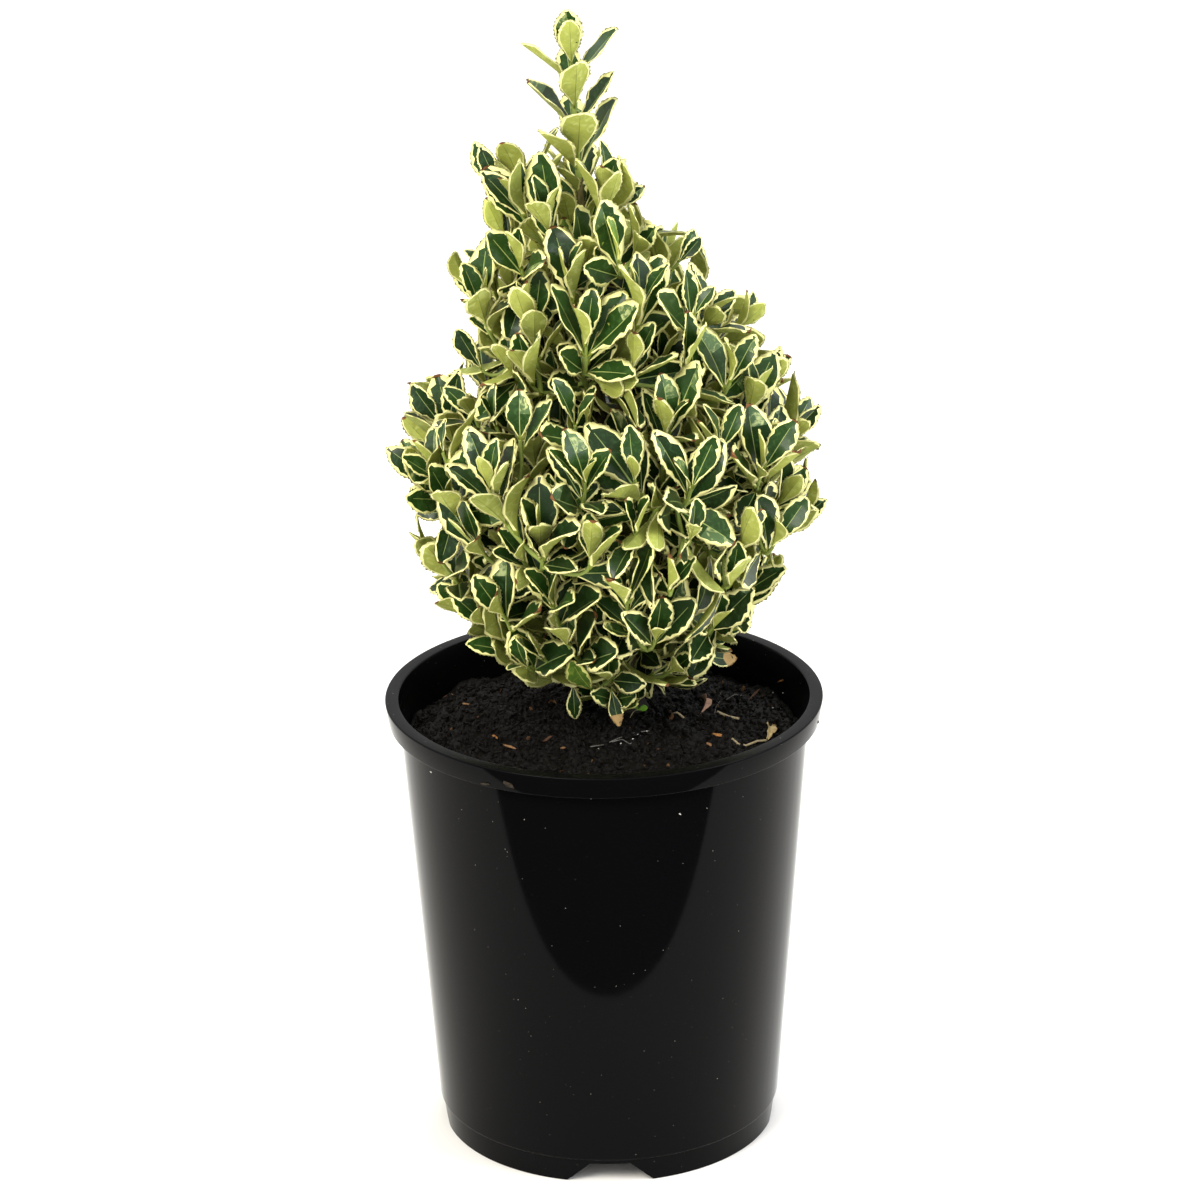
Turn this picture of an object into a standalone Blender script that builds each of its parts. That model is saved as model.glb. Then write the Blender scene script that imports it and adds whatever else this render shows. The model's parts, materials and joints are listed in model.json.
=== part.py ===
"""Potted spindle bush: a compact variegated evergreen shrub in a black nursery pot.

The shrub is a leaning leader with boughs in opposite pairs. Each bough carries one mass
of foliage, and each mass is a stem with ascending shoots that bear opposite pairs of
leaves, every pair turned a quarter from the one below it.

Metres, +Z up. The origin is on the pot's axis, at the ground it stands on. +X is to the
right and +Y away, as the bush is looked at from its front.
"""

import math
import random
from collections import namedtuple

import bmesh
import bpy
from mathutils import Matrix, Vector
from mathutils.bvhtree import BVHTree

# Pot, a moulded 200 mm nursery pot
POT_HEIGHT = 0.210
RIM_RADIUS = 0.100
RIM_FLAT_WIDTH = 0.0062
RIM_THICKNESS = 0.0022
RIM_EDGE_ROUND = 0.0006
SKIRT_DEPTH = 0.010
SKIRT_DRAFT = 0.0015
SKIRT_WALL = 0.0014
BODY_TOP_RADIUS = 0.0934
BODY_FOOT_RADIUS = 0.0792
WALL = 0.0014
FOOT_HEIGHT = 0.0115
FOOT_STEP = 0.0008
FOOT_RADIUS = 0.0772
FOOT_WALL = 0.0020
FLOOR_UNDER = 0.0105
FLOOR_THICKNESS = 0.0020
ARCH_HEIGHT = 0.0097
ARCH_TOP_WIDTH = 0.0185
ARCH_FOOT_WIDTH = 0.0398
DRAIN_RADIUS = 0.005
DRAIN_CIRCLE = 0.052
DRAIN_COUNT = 4
DRAIN_SIDES = 16
POT_SIDES = 40
CUT_OVER = 0.0006

# Potting mix, a shallow dome with a level place round the stem
MIX_EDGE_HEIGHT = 0.190
MIX_CROWN_HEIGHT = 0.197
MIX_LEVEL_RADIUS = 0.034
MIX_RINGS = 3
MIX_FALL = 1.5

# Space left between pieces that touch
GAP = 0.0003

# Leader, from the flat cut on the mix to the foot of the spire
TRUNK_FOOT = (0.012, 0.014)
TRUNK_TIP = (-0.0080, 0.006, 0.452)
TRUNK_RADIUS = 0.0050
TRUNK_TIP_RADIUS = 0.0015
FLARE = 0.0036
FLARE_HEIGHT = 0.006
TRUNK_SWAY = 0.0012
TRUNK_STEPS = 12
TRUNK_CROWDING = 1.6
TRUNK_SIDES = 8

# Crown: for each height, how far the foliage reaches to the left and right of the pot's
# axis. Its depth is the mean of the two, with slow waves round it.
CROWN_TIERS = (
    (0.204, -0.004, 0.026),
    (0.214, -0.034, 0.040),
    (0.230, -0.056, 0.060),
    (0.258, -0.080, 0.076),
    (0.284, -0.086, 0.090),
    (0.300, -0.082, 0.098),
    (0.330, -0.096, 0.097),
    (0.350, -0.084, 0.092),
    (0.364, -0.060, 0.085),
    (0.376, -0.052, 0.080),
    (0.400, -0.062, 0.066),
    (0.420, -0.062, 0.045),
    (0.444, -0.050, 0.022),
    (0.466, -0.050, 0.012),
    (0.482, -0.032, 0.012),
    (0.514, -0.029, 0.013),
    (0.528, -0.018, 0.000),
)
CROWN_WAVE = 0.06
CROWN_WAVES = 3
CROWN_WAVE_TURN = 40
CROWN_AXIS_MARGIN = 0.004
SPIRE_FOOT = 0.470

# Shoots end on an even scatter under the crown's skin. Towards its top they stand closer
# together and climb more.
SHOOT_SPACING = 0.0290
SHOOT_SPACING_TOP = 0.0185
SHOOT_TRIES = 9000
SHOOT_OFF_TRUNK = 0.005
SHOOT_OVER_MIX = 0.006
SHOOT_CLIMB_WORTH = 0.5
SHOOT_STARTS = 6
CLIMB_FOOT = 0.10
CLIMB_TOP = 2.0
SHOOT_STEPS = 2
SHOOT_RADIUS = 0.0013
SHOOT_TIP_RADIUS = 0.0011
STEM_STEPS = 3
STEM_RADIUS = 0.0017
STEM_BARE = 0.08
TWIG_SIDES = 3

# Boughs, on one bend from the leader to the heart of their mass
BOUGH_STEPS = 4
BOUGH_SIDES = 6
BOUGH_ARRIVAL = 0.42
BOUGH_SHARE = 0.62
BOUGH_BASE = 0.62
HEART_DEPTH = 0.014

# Leaf, obovate with a blunt tip, a little folded along its midrib
LEAF_LENGTH = 0.032
LEAF_WIDTH = 0.0215
LEAF_THICKNESS = 0.0012
LEAF_BELLY = 0.50
LEAF_SHOULDER = 0.92
LEAF_SHOULDER_WIDTH = 0.56
LEAF_FOLD = math.radians(14)
LEAF_SUNK = 0.0005
LEAF_FREE = 0.0020
LEAF_SIDES = 5
LEAF_REACH = 0.86

# How leaves stand on a shoot: opposite pairs, each a quarter turn from the next
SHOOT_PAIRS = 2
SPIRE_PAIRS = 8
SPIRE_LEAF_SIZE = 0.88
SPIRE_BARE = 0.003
SPREAD_TIP = math.radians(27)
SPREAD_STEP = math.radians(24)
SPREAD_STEPS = 1.6
SPREAD_SCATTER = 0.1
NODE_GAP = 0.0070
TIP_GAP = 0.0012
QUARTER_TURN = math.radians(90)
NEARLY_UPRIGHT = 0.98
CLEAR_OF_LIMB = 0.0006
SLEEVE_SIDES = 8
CLEAR_OF_MASS = 0.0004
CLEAR_OF_MIX = 0.004
SKIN_SLACK = 0.003
LEAF_OVERREACH = 0.007

# What a leaf may do to find room, in turn: its size, then how much it closes and swings
LEAF_SIZES = (0.90, 1.08)
LEAF_TILT = 0.3
LEAF_SCALES = (1, 0.86, 0.74)
LEAF_TURNS = (
    (0, 0),
    (-0.2, 0.25),
    (0.2, -0.25),
    (-0.35, -0.5),
    (0.35, 0.5),
    (0.1, -0.8),
    (0.1, 0.8),
)

# Core of a dense mass, round the stem and well under the leaves
CORE_REACH = 0.028
CORE_UNDER_SKIN = 0.024
CORE_CLEAR_OF_MASS = 0.008
CORE_LEAST = 0.006
CORE_STEP = 0.001
SEED = 7

UP = Vector((0, 0, 1))

# Each mass of foliage: its name, the middle of its space, the height where its bough
# leaves the leader, and whether it is dense enough for a core. A mass with no bough has
# its stem on the leader itself.
Mass = namedtuple("Mass", "name centre bough_from dense")
MASSES = (
    Mass("spire", (-0.009, 0.006, 0.502), None, False),
    Mass("neck_left", (-0.036, 0.002, 0.446), 0.392, False),
    Mass("neck_front", (0.000, -0.022, 0.442), 0.404, False),
    Mass("neck_back", (0.000, 0.034, 0.442), 0.404, False),
    Mass("upper_left", (-0.044, 0.004, 0.392), 0.330, True),
    Mass("upper_right", (0.044, 0.006, 0.392), 0.330, True),
    Mass("upper_front", (-0.002, -0.040, 0.386), 0.342, True),
    Mass("upper_back", (-0.002, 0.052, 0.386), 0.342, True),
    Mass("mid_left", (-0.068, -0.004, 0.326), 0.244, True),
    Mass("mid_right", (0.066, 0.004, 0.328), 0.244, True),
    Mass("mid_front_left", (-0.030, -0.052, 0.326), 0.256, True),
    Mass("mid_front_right", (0.030, -0.052, 0.328), 0.268, True),
    Mass("mid_back_left", (-0.030, 0.062, 0.326), 0.268, True),
    Mass("mid_back_right", (0.030, 0.064, 0.328), 0.256, True),
    Mass("low_left", (-0.050, 0.002, 0.256), 0.214, True),
    Mass("low_right", (0.052, 0.008, 0.256), 0.214, True),
    Mass("low_front", (0.002, -0.042, 0.254), 0.224, True),
    Mass("low_back", (0.004, 0.058, 0.254), 0.224, True),
)


def clear_scene():
    for obj in list(bpy.data.objects):
        bpy.data.objects.remove(obj, do_unlink=True)


def new_collection(name, parent=None):
    collection = bpy.data.collections.new(name)
    (parent or bpy.context.scene.collection).children.link(collection)
    return collection


def new_material(name, colour, roughness, metallic=0.0):
    """A Principled material. The colour is linear red, green and blue."""
    material = bpy.data.materials.new(name)
    material.use_nodes = True
    shader = material.node_tree.nodes["Principled BSDF"]
    shader.inputs["Base Color"].default_value = (*colour, 1.0)
    shader.inputs["Roughness"].default_value = roughness
    shader.inputs["Metallic"].default_value = metallic
    return material


def add_object(name, data, collection, material=None):
    obj = bpy.data.objects.new(name, data)
    collection.objects.link(obj)
    if material:
        obj.data.materials.clear()
        obj.data.materials.append(material)
    return obj


def evaluated_mesh(obj):
    bpy.context.view_layer.update()
    graph = bpy.context.evaluated_depsgraph_get()
    return bpy.data.meshes.new_from_object(obj.evaluated_get(graph))


def apply_modifiers(obj):
    mesh = evaluated_mesh(obj)
    obj.modifiers.clear()
    obj.data = mesh


def shade_round(mesh):
    mesh.shade_smooth()
    mesh.set_sharp_from_angle(angle=math.radians(35))


def mark_as_cutter(obj):
    obj.hide_render = True
    obj.display_type = "WIRE"


def cut_with(obj, cutters):
    """Takes a collection of cutters away from an object."""
    cut = obj.modifiers.new("Cut", "BOOLEAN")
    cut.operation = "DIFFERENCE"
    cut.operand_type = "COLLECTION"
    cut.collection = cutters
    apply_modifiers(obj)


def turned(name, profile, collection, material):
    """Turns an outline of (radius, height) points round the Z axis."""
    mesh = bpy.data.meshes.new(name)
    points = [(radius, 0, height) for radius, height in profile]
    mesh.from_pydata(points, [(i, i + 1) for i in range(len(points) - 1)], [])
    obj = add_object(name, mesh, collection, material)
    screw = obj.modifiers.new("Turn", "SCREW")
    screw.steps = POT_SIDES
    screw.render_steps = POT_SIDES
    screw.use_merge_vertices = True
    screw.merge_threshold = 0.00001
    apply_modifiers(obj)
    return obj


def body_radius(height):
    """Outer radius of the pot's tapered wall."""
    foot = FOOT_HEIGHT + FOOT_STEP
    share = (height - foot) / (POT_HEIGHT - SKIRT_DEPTH - foot)
    return BODY_FOOT_RADIUS + share * (BODY_TOP_RADIUS - BODY_FOOT_RADIUS)


def pot_profile():
    """Section of the pot: up the inside, over the rim and its skirt, down to the foot."""
    floor_top = FLOOR_UNDER + FLOOR_THICKNESS
    skirt_foot = POT_HEIGHT - SKIRT_DEPTH
    under_rim = POT_HEIGHT - RIM_THICKNESS
    rim_inner = RIM_RADIUS - RIM_FLAT_WIDTH
    skirt_radius = RIM_RADIUS - SKIRT_DRAFT
    return [
        (0, floor_top),
        (body_radius(floor_top) - WALL, floor_top),
        (body_radius(skirt_foot) - WALL, skirt_foot),
        (rim_inner, POT_HEIGHT - RIM_EDGE_ROUND),
        (rim_inner + RIM_EDGE_ROUND, POT_HEIGHT),
        (RIM_RADIUS - RIM_EDGE_ROUND, POT_HEIGHT),
        (RIM_RADIUS, POT_HEIGHT - RIM_EDGE_ROUND),
        (skirt_radius, skirt_foot),
        (skirt_radius - SKIRT_WALL, skirt_foot),
        (RIM_RADIUS - SKIRT_WALL - RIM_EDGE_ROUND, under_rim),
        (rim_inner + WALL, under_rim),
        (body_radius(skirt_foot), skirt_foot),
        (body_radius(FOOT_HEIGHT + FOOT_STEP), FOOT_HEIGHT + FOOT_STEP),
        (FOOT_RADIUS + FOOT_STEP, FOOT_HEIGHT),
        (FOOT_RADIUS, 0),
        (FOOT_RADIUS - FOOT_WALL, 0),
        (FOOT_RADIUS - FOOT_WALL, FLOOR_UNDER),
        (0, FLOOR_UNDER),
    ]


def make_pot(collection, cutters, material):
    """The pot, with four arches through its foot ring and drain holes in its floor."""
    pot = turned("pot", pot_profile(), collection, material)
    for turn in range(2):
        mesh = bpy.data.meshes.new("foot_arch")
        shape = bmesh.new()
        bmesh.ops.create_cube(shape, size=1)
        slope = (ARCH_FOOT_WIDTH - ARCH_TOP_WIDTH) / ARCH_HEIGHT
        for vert in shape.verts:
            below = vert.co.z < 0
            width = ARCH_FOOT_WIDTH + slope * CUT_OVER if below else ARCH_TOP_WIDTH
            vert.co.x = math.copysign(width / 2, vert.co.x)
            vert.co.y = math.copysign(RIM_RADIUS, vert.co.y)
            vert.co.z = -CUT_OVER if below else ARCH_HEIGHT
        bmesh.ops.rotate(
            shape, verts=shape.verts, matrix=Matrix.Rotation(turn * QUARTER_TURN, 3, "Z")
        )
        shape.to_mesh(mesh)
        shape.free()
        mark_as_cutter(add_object(f"foot_arch_{turn}", mesh, cutters))
    for hole in range(DRAIN_COUNT):
        angle = QUARTER_TURN * (hole + 0.5)
        mesh = bpy.data.meshes.new("drain")
        shape = bmesh.new()
        bmesh.ops.create_cone(
            shape,
            cap_ends=True,
            segments=DRAIN_SIDES,
            radius1=DRAIN_RADIUS,
            radius2=DRAIN_RADIUS,
            depth=FLOOR_THICKNESS * 4,
            matrix=Matrix.Translation(
                (
                    DRAIN_CIRCLE * math.cos(angle),
                    DRAIN_CIRCLE * math.sin(angle),
                    FOOT_HEIGHT,
                )
            ),
        )
        shape.to_mesh(mesh)
        shape.free()
        mark_as_cutter(add_object(f"drain_{hole}", mesh, cutters))
    cut_with(pot, cutters)
    shade_round(pot.data)
    return pot


def mix_profile():
    """Section of the potting mix: over its dome, then down clear of the pot's wall."""
    floor_top = FLOOR_UNDER + FLOOR_THICKNESS
    edge_radius = body_radius(MIX_EDGE_HEIGHT) - WALL - GAP
    points = [(0, MIX_CROWN_HEIGHT), (MIX_LEVEL_RADIUS, MIX_CROWN_HEIGHT)]
    for ring in range(1, MIX_RINGS + 1):
        share = ring / MIX_RINGS
        radius = MIX_LEVEL_RADIUS + share * (edge_radius - MIX_LEVEL_RADIUS)
        drop = (MIX_CROWN_HEIGHT - MIX_EDGE_HEIGHT) * share**MIX_FALL
        points.append((radius, MIX_CROWN_HEIGHT - drop))
    points.append((body_radius(floor_top) - WALL - GAP, floor_top + GAP))
    points.append((0, floor_top + GAP))
    return points


def tube(name, points, radii, collection, material=None, sides=3):
    """A tapering limb as a closed mesh: a curve that carries a section of equal sides."""
    section = bpy.data.curves.new(f"{name}_section", "CURVE")
    ring = section.splines.new("POLY")
    ring.points.add(sides - 1)
    for k, point in enumerate(ring.points):
        angle = -2 * math.pi * k / sides
        point.co = (math.cos(angle), math.sin(angle), 0, 1)
    ring.use_cyclic_u = True
    outline = add_object(f"{name}_section", section, collection)
    curve = bpy.data.curves.new(name, "CURVE")
    curve.dimensions = "3D"
    curve.use_fill_caps = True
    curve.bevel_mode = "OBJECT"
    curve.bevel_object = outline
    spline = curve.splines.new("POLY")
    spline.points.add(len(points) - 1)
    for point, place, radius in zip(spline.points, points, radii):
        point.co = (*place, 1)
        point.radius = radius
    guide = add_object(f"{name}_guide", curve, collection)
    mesh = evaluated_mesh(guide)
    mesh.name = name
    bpy.data.objects.remove(guide, do_unlink=True)
    bpy.data.objects.remove(outline, do_unlink=True)
    shape = bmesh.new()
    shape.from_mesh(mesh)
    bmesh.ops.remove_doubles(shape, verts=shape.verts, dist=0.00001)
    bmesh.ops.recalc_face_normals(shape, faces=shape.faces)
    shape.to_mesh(mesh)
    shape.free()
    return add_object(name, mesh, collection, material)


def trunk_point(height):
    """Centre of the leader at a height: a straight lean with a slight sway."""
    start = Vector((*TRUNK_FOOT, MIX_CROWN_HEIGHT + GAP))
    share = (height - start.z) / (TRUNK_TIP[2] - start.z)
    point = start.lerp(Vector(TRUNK_TIP), share)
    point.x += TRUNK_SWAY * math.sin(2 * math.pi * share)
    point.y += TRUNK_SWAY * math.sin(math.pi * share)
    return point


def trunk_radius(height):
    """Radius of the leader: an even taper, with a flare over the mix."""
    above = height - MIX_CROWN_HEIGHT - GAP
    share = above / (TRUNK_TIP[2] - MIX_CROWN_HEIGHT - GAP)
    flare = FLARE * math.exp(-above / FLARE_HEIGHT)
    return TRUNK_RADIUS + share * (TRUNK_TIP_RADIUS - TRUNK_RADIUS) + flare


def trunk_line():
    """Points and radii of the leader, closest together in its flare. Its first length
    stands upright, so that the cut under it is level."""
    foot = MIX_CROWN_HEIGHT + GAP
    shares = [(k / TRUNK_STEPS) ** TRUNK_CROWDING for k in range(TRUNK_STEPS + 1)]
    heights = [foot + (TRUNK_TIP[2] - foot) * share for share in shares]
    points = [trunk_point(height) for height in heights]
    points[1].x, points[1].y = points[0].x, points[0].y
    return points, [trunk_radius(height) for height in heights]


def crown_section(height):
    """The crown's axis at a height, and its half widths to the left, right and in depth."""
    low, high = CROWN_TIERS[0], CROWN_TIERS[-1]
    for one, other in zip(CROWN_TIERS, CROWN_TIERS[1:]):
        if one[0] <= height <= other[0]:
            low, high = one, other
            break
    share = min(max((height - low[0]) / (high[0] - low[0]), 0), 1)
    left, right = (low[k] + share * (high[k] - low[k]) for k in (1, 2))
    axis = trunk_point(height)
    middle = min(max(axis.x, left + CROWN_AXIS_MARGIN), right - CROWN_AXIS_MARGIN)
    return Vector((middle, axis.y, height)), middle - left, right - middle, (right - left) / 2


def crown_radius(height, azimuth):
    """How far the crown reaches from its axis, at a height and in a direction."""
    _, left, right, depth = crown_section(height)
    across = right if math.cos(azimuth) > 0 else left
    reach = 1 / math.hypot(math.cos(azimuth) / across, math.sin(azimuth) / depth)
    wave = math.sin(CROWN_WAVES * azimuth + CROWN_WAVE_TURN * height)
    wave *= math.sin(azimuth) ** 2
    return reach * (1 + CROWN_WAVE * wave)


def skin_point(height, azimuth):
    """A point on the crown's skin, and the level direction from its axis to it."""
    out = Vector((math.cos(azimuth), math.sin(azimuth), 0))
    return crown_section(height)[0] + out * crown_radius(height, azimuth), out


def in_crown(point):
    """Whether a point is under the crown's skin, over the pot and clear above the mix."""
    if not MIX_CROWN_HEIGHT + CLEAR_OF_MIX < point.z < CROWN_TIERS[-1][0]:
        return False
    if max(abs(point.x), abs(point.y)) > RIM_RADIUS:
        return False
    offset = point - crown_section(point.z)[0]
    azimuth = math.atan2(offset.y, offset.x)
    return math.hypot(offset.x, offset.y) < crown_radius(point.z, azimuth) + SKIN_SLACK


def crown_share(height):
    """How far up the crown a height is, from 0 at its foot to 1 at its top."""
    return (height - CROWN_TIERS[0][0]) / (CROWN_TIERS[-1][0] - CROWN_TIERS[0][0])


def shoot_heading(height, out):
    """Direction in which a shoot ends: out from the leader, and up."""
    climb = CLIMB_FOOT + crown_share(height) * (CLIMB_TOP - CLIMB_FOOT)
    return (out + UP * climb).normalized()


def scatter_shoots(dice):
    """Tips and directions of the shoots, spread evenly so that their leaves end in the
    crown's skin."""
    skin, shoots = [], []
    for _ in range(SHOOT_TRIES):
        height = dice.uniform(CROWN_TIERS[0][0], SPIRE_FOOT)
        azimuth = dice.uniform(-math.pi, math.pi)
        spot, out = skin_point(height, azimuth)
        share = crown_share(height) ** 2
        spacing = SHOOT_SPACING + share * (SHOOT_SPACING_TOP - SHOOT_SPACING)
        if any((spot - other).length < spacing for other in skin):
            continue
        heading = shoot_heading(height, out)
        tip = spot - heading * LEAF_LENGTH * LEAF_REACH
        if (tip - trunk_point(tip.z)).dot(out) < SHOOT_OFF_TRUNK:
            continue
        if tip.z < MIX_CROWN_HEIGHT + SHOOT_OVER_MIX:
            continue
        skin.append(spot)
        shoots.append((tip, heading))
    return shoots


def nearest_mass(point):
    """The mass whose middle is nearest, other than the spire."""
    return min(MASSES[1:], key=lambda mass: (point - Vector(mass.centre)).length)


def boundary_planes(mass):
    """The planes half way to each neighbour, which part a mass's space from theirs."""
    planes = []
    for other in MASSES:
        if other is not mass:
            across = Vector(other.centre) - Vector(mass.centre)
            middle = (Vector(other.centre) + Vector(mass.centre)) / 2
            planes.append((middle, across.normalized()))
    return planes


def limb_route(mass, shoots):
    """Start, bend and end of the curve that a bough and its mass's stem follow, from the
    leader's axis to the heart of the mass."""
    start = trunk_point(mass.bough_from)
    tip = sum((tip for tip, _ in shoots), Vector()) / len(shoots)
    heading = sum((heading for _, heading in shoots), Vector()).normalized()
    heart = tip - heading * HEART_DEPTH
    return start, heart - heading * (heart - start).length * BOUGH_ARRIVAL, heart


def on_bend(route, share):
    """Point on a curve from a start to an end, pulled towards its bend."""
    start, bend, end = route
    return start * (1 - share) ** 2 + bend * 2 * share * (1 - share) + end * share**2


def stretch(route, low, high, steps):
    """Points along one stretch of a curve."""
    return [on_bend(route, low + (high - low) * k / steps) for k in range(steps + 1)]


def even_taper(first, last, count):
    return [first + (last - first) * k / (count - 1) for k in range(count)]


def leaf_mesh(foot_at, margin=0.0):
    """One leaf as a closed solid of ten faces, from a sphere of five sides. It lies along
    +X, with its upper face to +Z and its foot so far along from the middle of its shoot. A
    margin makes it that much larger all round."""
    shape = bmesh.new()
    bmesh.ops.create_uvsphere(shape, u_segments=LEAF_SIDES, v_segments=2, radius=1)
    rim = [vert for vert in shape.verts if abs(vert.co.z) < 0.5]
    foot = max(rim, key=lambda vert: vert.co.x)
    for vert in shape.verts:
        if vert not in rim:
            vert.co = (
                LEAF_BELLY * LEAF_LENGTH,
                0,
                math.copysign(LEAF_THICKNESS / 2 + margin, vert.co.z),
            )
            continue
        side = 0 if vert is foot else math.copysign(1, vert.co.y)
        far = vert.co.x < -0.5
        along = 0 if side == 0 else (LEAF_SHOULDER if far else LEAF_BELLY)
        across = side * LEAF_WIDTH / 2 * (LEAF_SHOULDER_WIDTH if far else 1)
        place = Vector((along * LEAF_LENGTH, -across, abs(across) * math.tan(LEAF_FOLD)))
        vert.co = place + (place - Vector((LEAF_BELLY * LEAF_LENGTH, 0, 0))).normalized() * margin
    foot.co = (foot_at, 0, 0)
    bmesh.ops.recalc_face_normals(shape, faces=shape.faces)
    mesh = bpy.data.meshes.new("leaf")
    shape.to_mesh(mesh)
    shape.free()
    return mesh


def leaf_place(foot, axis, side, spread, size, tilt=0.0):
    """Matrix of a leaf on a shoot: it spreads from the shoot's axis to one side, with its
    upper face towards the axis."""
    along = axis * math.cos(spread) + side * math.sin(spread)
    face = axis * math.sin(spread) - side * math.cos(spread)
    across = face.cross(along)
    turn = Matrix((along, across, face)).transposed() @ Matrix.Rotation(tilt, 3, "X")
    return Matrix.Translation(foot) @ (turn * size).to_4x4()


def across_of(axis, turn):
    """A unit direction square to an axis, turned round it."""
    level = UP if abs(axis.z) < NEARLY_UPRIGHT else Vector((1, 0, 0))
    side = axis.cross(level).normalized()
    return Matrix.Rotation(turn, 3, axis) @ side


def point_behind_tip(points, back):
    """Point and direction on a line of points, a length back from its end."""
    for a, b in zip(points[-2::-1], points[:0:-1]):
        length = (b - a).length
        if back <= length:
            return b.lerp(a, back / length), (b - a).normalized()
        back -= length
    return points[0], (points[1] - points[0]).normalized()


class Growth:
    """One mass while it grows: its twigs, and the leaves that fit its space."""

    def __init__(self, mass, limbs, neighbours, free_leaf, wide_leaf, dice):
        self.planes = boundary_planes(mass)
        self.obstacles = [limbs, *neighbours]
        self.free_leaf = free_leaf
        self.wide_leaf = wide_leaf
        self.dice = dice
        self.twigs = []
        self.leaves = []
        self.trees = []

    def holds(self, point, over=0.0):
        """Whether a point is in the mass's own space, or no more than a length over it."""
        if any((point - spot).dot(across) > over for spot, across in self.planes):
            return False
        return in_crown(point)

    def is_clear(self, points):
        """Whether a twig keeps to the space and clear of the limbs and other masses."""
        for a, b in zip(points, points[1:]):
            if not self.holds(b):
                return False
            for obstacle in self.obstacles:
                near = obstacle.find_nearest(b)[3]
                if near < SHOOT_RADIUS + CLEAR_OF_MASS:
                    return False
                if obstacle.ray_cast(a, (b - a).normalized(), (b - a).length)[0]:
                    return False
        return True

    def fit_leaf(self, place):
        """Keeps a leaf if it stays in the space and touches no limb or other leaf."""
        faces = [tuple(face.vertices) for face in self.free_leaf.polygons]
        points = [place @ vert.co for vert in self.free_leaf.vertices]
        if not all(self.holds(point, LEAF_OVERREACH) for point in points):
            return False
        wide = [place @ vert.co for vert in self.wide_leaf.vertices]
        wide_tree = BVHTree.FromPolygons(wide, faces)
        if any(wide_tree.overlap(obstacle) for obstacle in self.obstacles):
            return False
        tree = BVHTree.FromPolygons(points, faces)
        if any(tree.overlap(other) for other in self.trees):
            return False
        self.trees.append(tree)
        self.leaves.append(place)
        return True

    def add_leaf(self, foot, axis, turn, spread, size):
        """Tries a leaf as it should stand, then turned, closed, opened or smaller."""
        size *= self.dice.uniform(*LEAF_SIZES)
        tilt = self.dice.uniform(-LEAF_TILT, LEAF_TILT)
        for scale in LEAF_SCALES:
            for change, swing in LEAF_TURNS:
                side = across_of(axis, turn + swing)
                place = leaf_place(foot, axis, side, spread + change, size * scale, tilt)
                if self.fit_leaf(place):
                    return

    def add_pairs(self, points, pairs, size=1.0, gap=NODE_GAP):
        """Opposite pairs of leaves from a shoot's tip downwards."""
        first_turn = self.dice.uniform(0, QUARTER_TURN)
        back = TIP_GAP
        for pair in range(pairs):
            foot, axis = point_behind_tip(points, back)
            spread = SPREAD_TIP + SPREAD_STEP * min(pair, SPREAD_STEPS)
            for half in (0, 2):
                turn = first_turn + (pair + half) * QUARTER_TURN
                scatter = self.dice.uniform(-SPREAD_SCATTER, SPREAD_SCATTER)
                self.add_leaf(foot, axis, turn, spread + scatter, size)
            back += gap

    def add_shoot(self, stem, tip, heading):
        """Grows a shoot to its tip, from the place on the stem that lets it climb best."""

        def cost(spot):
            return (tip - spot).length - SHOOT_CLIMB_WORTH * (tip - spot).z

        for start in sorted(stem, key=cost):
            route = start, tip - heading * (tip - start).length / 2, tip
            points = stretch(route, 0, 1, SHOOT_STEPS)
            if self.is_clear(points):
                self.twigs.append((points, SHOOT_RADIUS, SHOOT_TIP_RADIUS))
                self.add_pairs(points, SHOOT_PAIRS)
                return


def grow_mass(mass, shoots, growth):
    """Stem, shoots and leaves of one mass that a bough carries."""
    route = limb_route(mass, shoots)
    low = BOUGH_SHARE + GAP / (route[2] - route[0]).length
    stem = stretch(route, low, 1, STEM_STEPS)
    growth.twigs.append((stem, STEM_RADIUS, SHOOT_RADIUS))
    starts = stretch(route, low + STEM_BARE, 1 - STEM_BARE / 2, SHOOT_STARTS)
    for tip, heading in shoots:
        growth.add_shoot(starts, tip, heading)
    return stem


def grow_spire(growth):
    """The leader's own leafy end."""
    points = trunk_line()[0]
    foot = points[-1]
    along = (foot - points[-2]).normalized()
    top = CROWN_TIERS[-1][0] - LEAF_LENGTH * SPIRE_LEAF_SIZE * LEAF_SHOULDER
    length = (top - foot.z) / along.z
    leader = [foot + along * GAP, foot + along * length / 2, foot + along * length]
    growth.twigs.append((leader, TRUNK_TIP_RADIUS, SHOOT_TIP_RADIUS))
    gap = (length - SPIRE_BARE) / SPIRE_PAIRS
    growth.add_pairs(leader, SPIRE_PAIRS, SPIRE_LEAF_SIZE, gap)


def core_mesh(mass, stem):
    """The core of a mass: a coarse ball round its stem, drawn in wherever a neighbour's
    space or the crown's skin is near."""
    middle = stem[len(stem) // 2]
    planes = boundary_planes(mass)
    shape = bmesh.new()
    bmesh.ops.create_icosphere(shape, subdivisions=1, radius=1)
    for vert in shape.verts:
        out = vert.co.normalized()
        reach = CORE_REACH
        for spot, across in planes:
            toward = out.dot(across)
            room = (spot - middle).dot(across) - CORE_CLEAR_OF_MASS
            if toward * reach > room:
                reach = room / toward
        while reach > CORE_LEAST and not in_crown(middle + out * (reach + CORE_UNDER_SKIN)):
            reach -= CORE_STEP
        vert.co = middle + out * max(reach, CORE_LEAST)
    mesh = bpy.data.meshes.new(f"{mass.name}_core")
    shape.to_mesh(mesh)
    shape.free()
    return mesh


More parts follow.
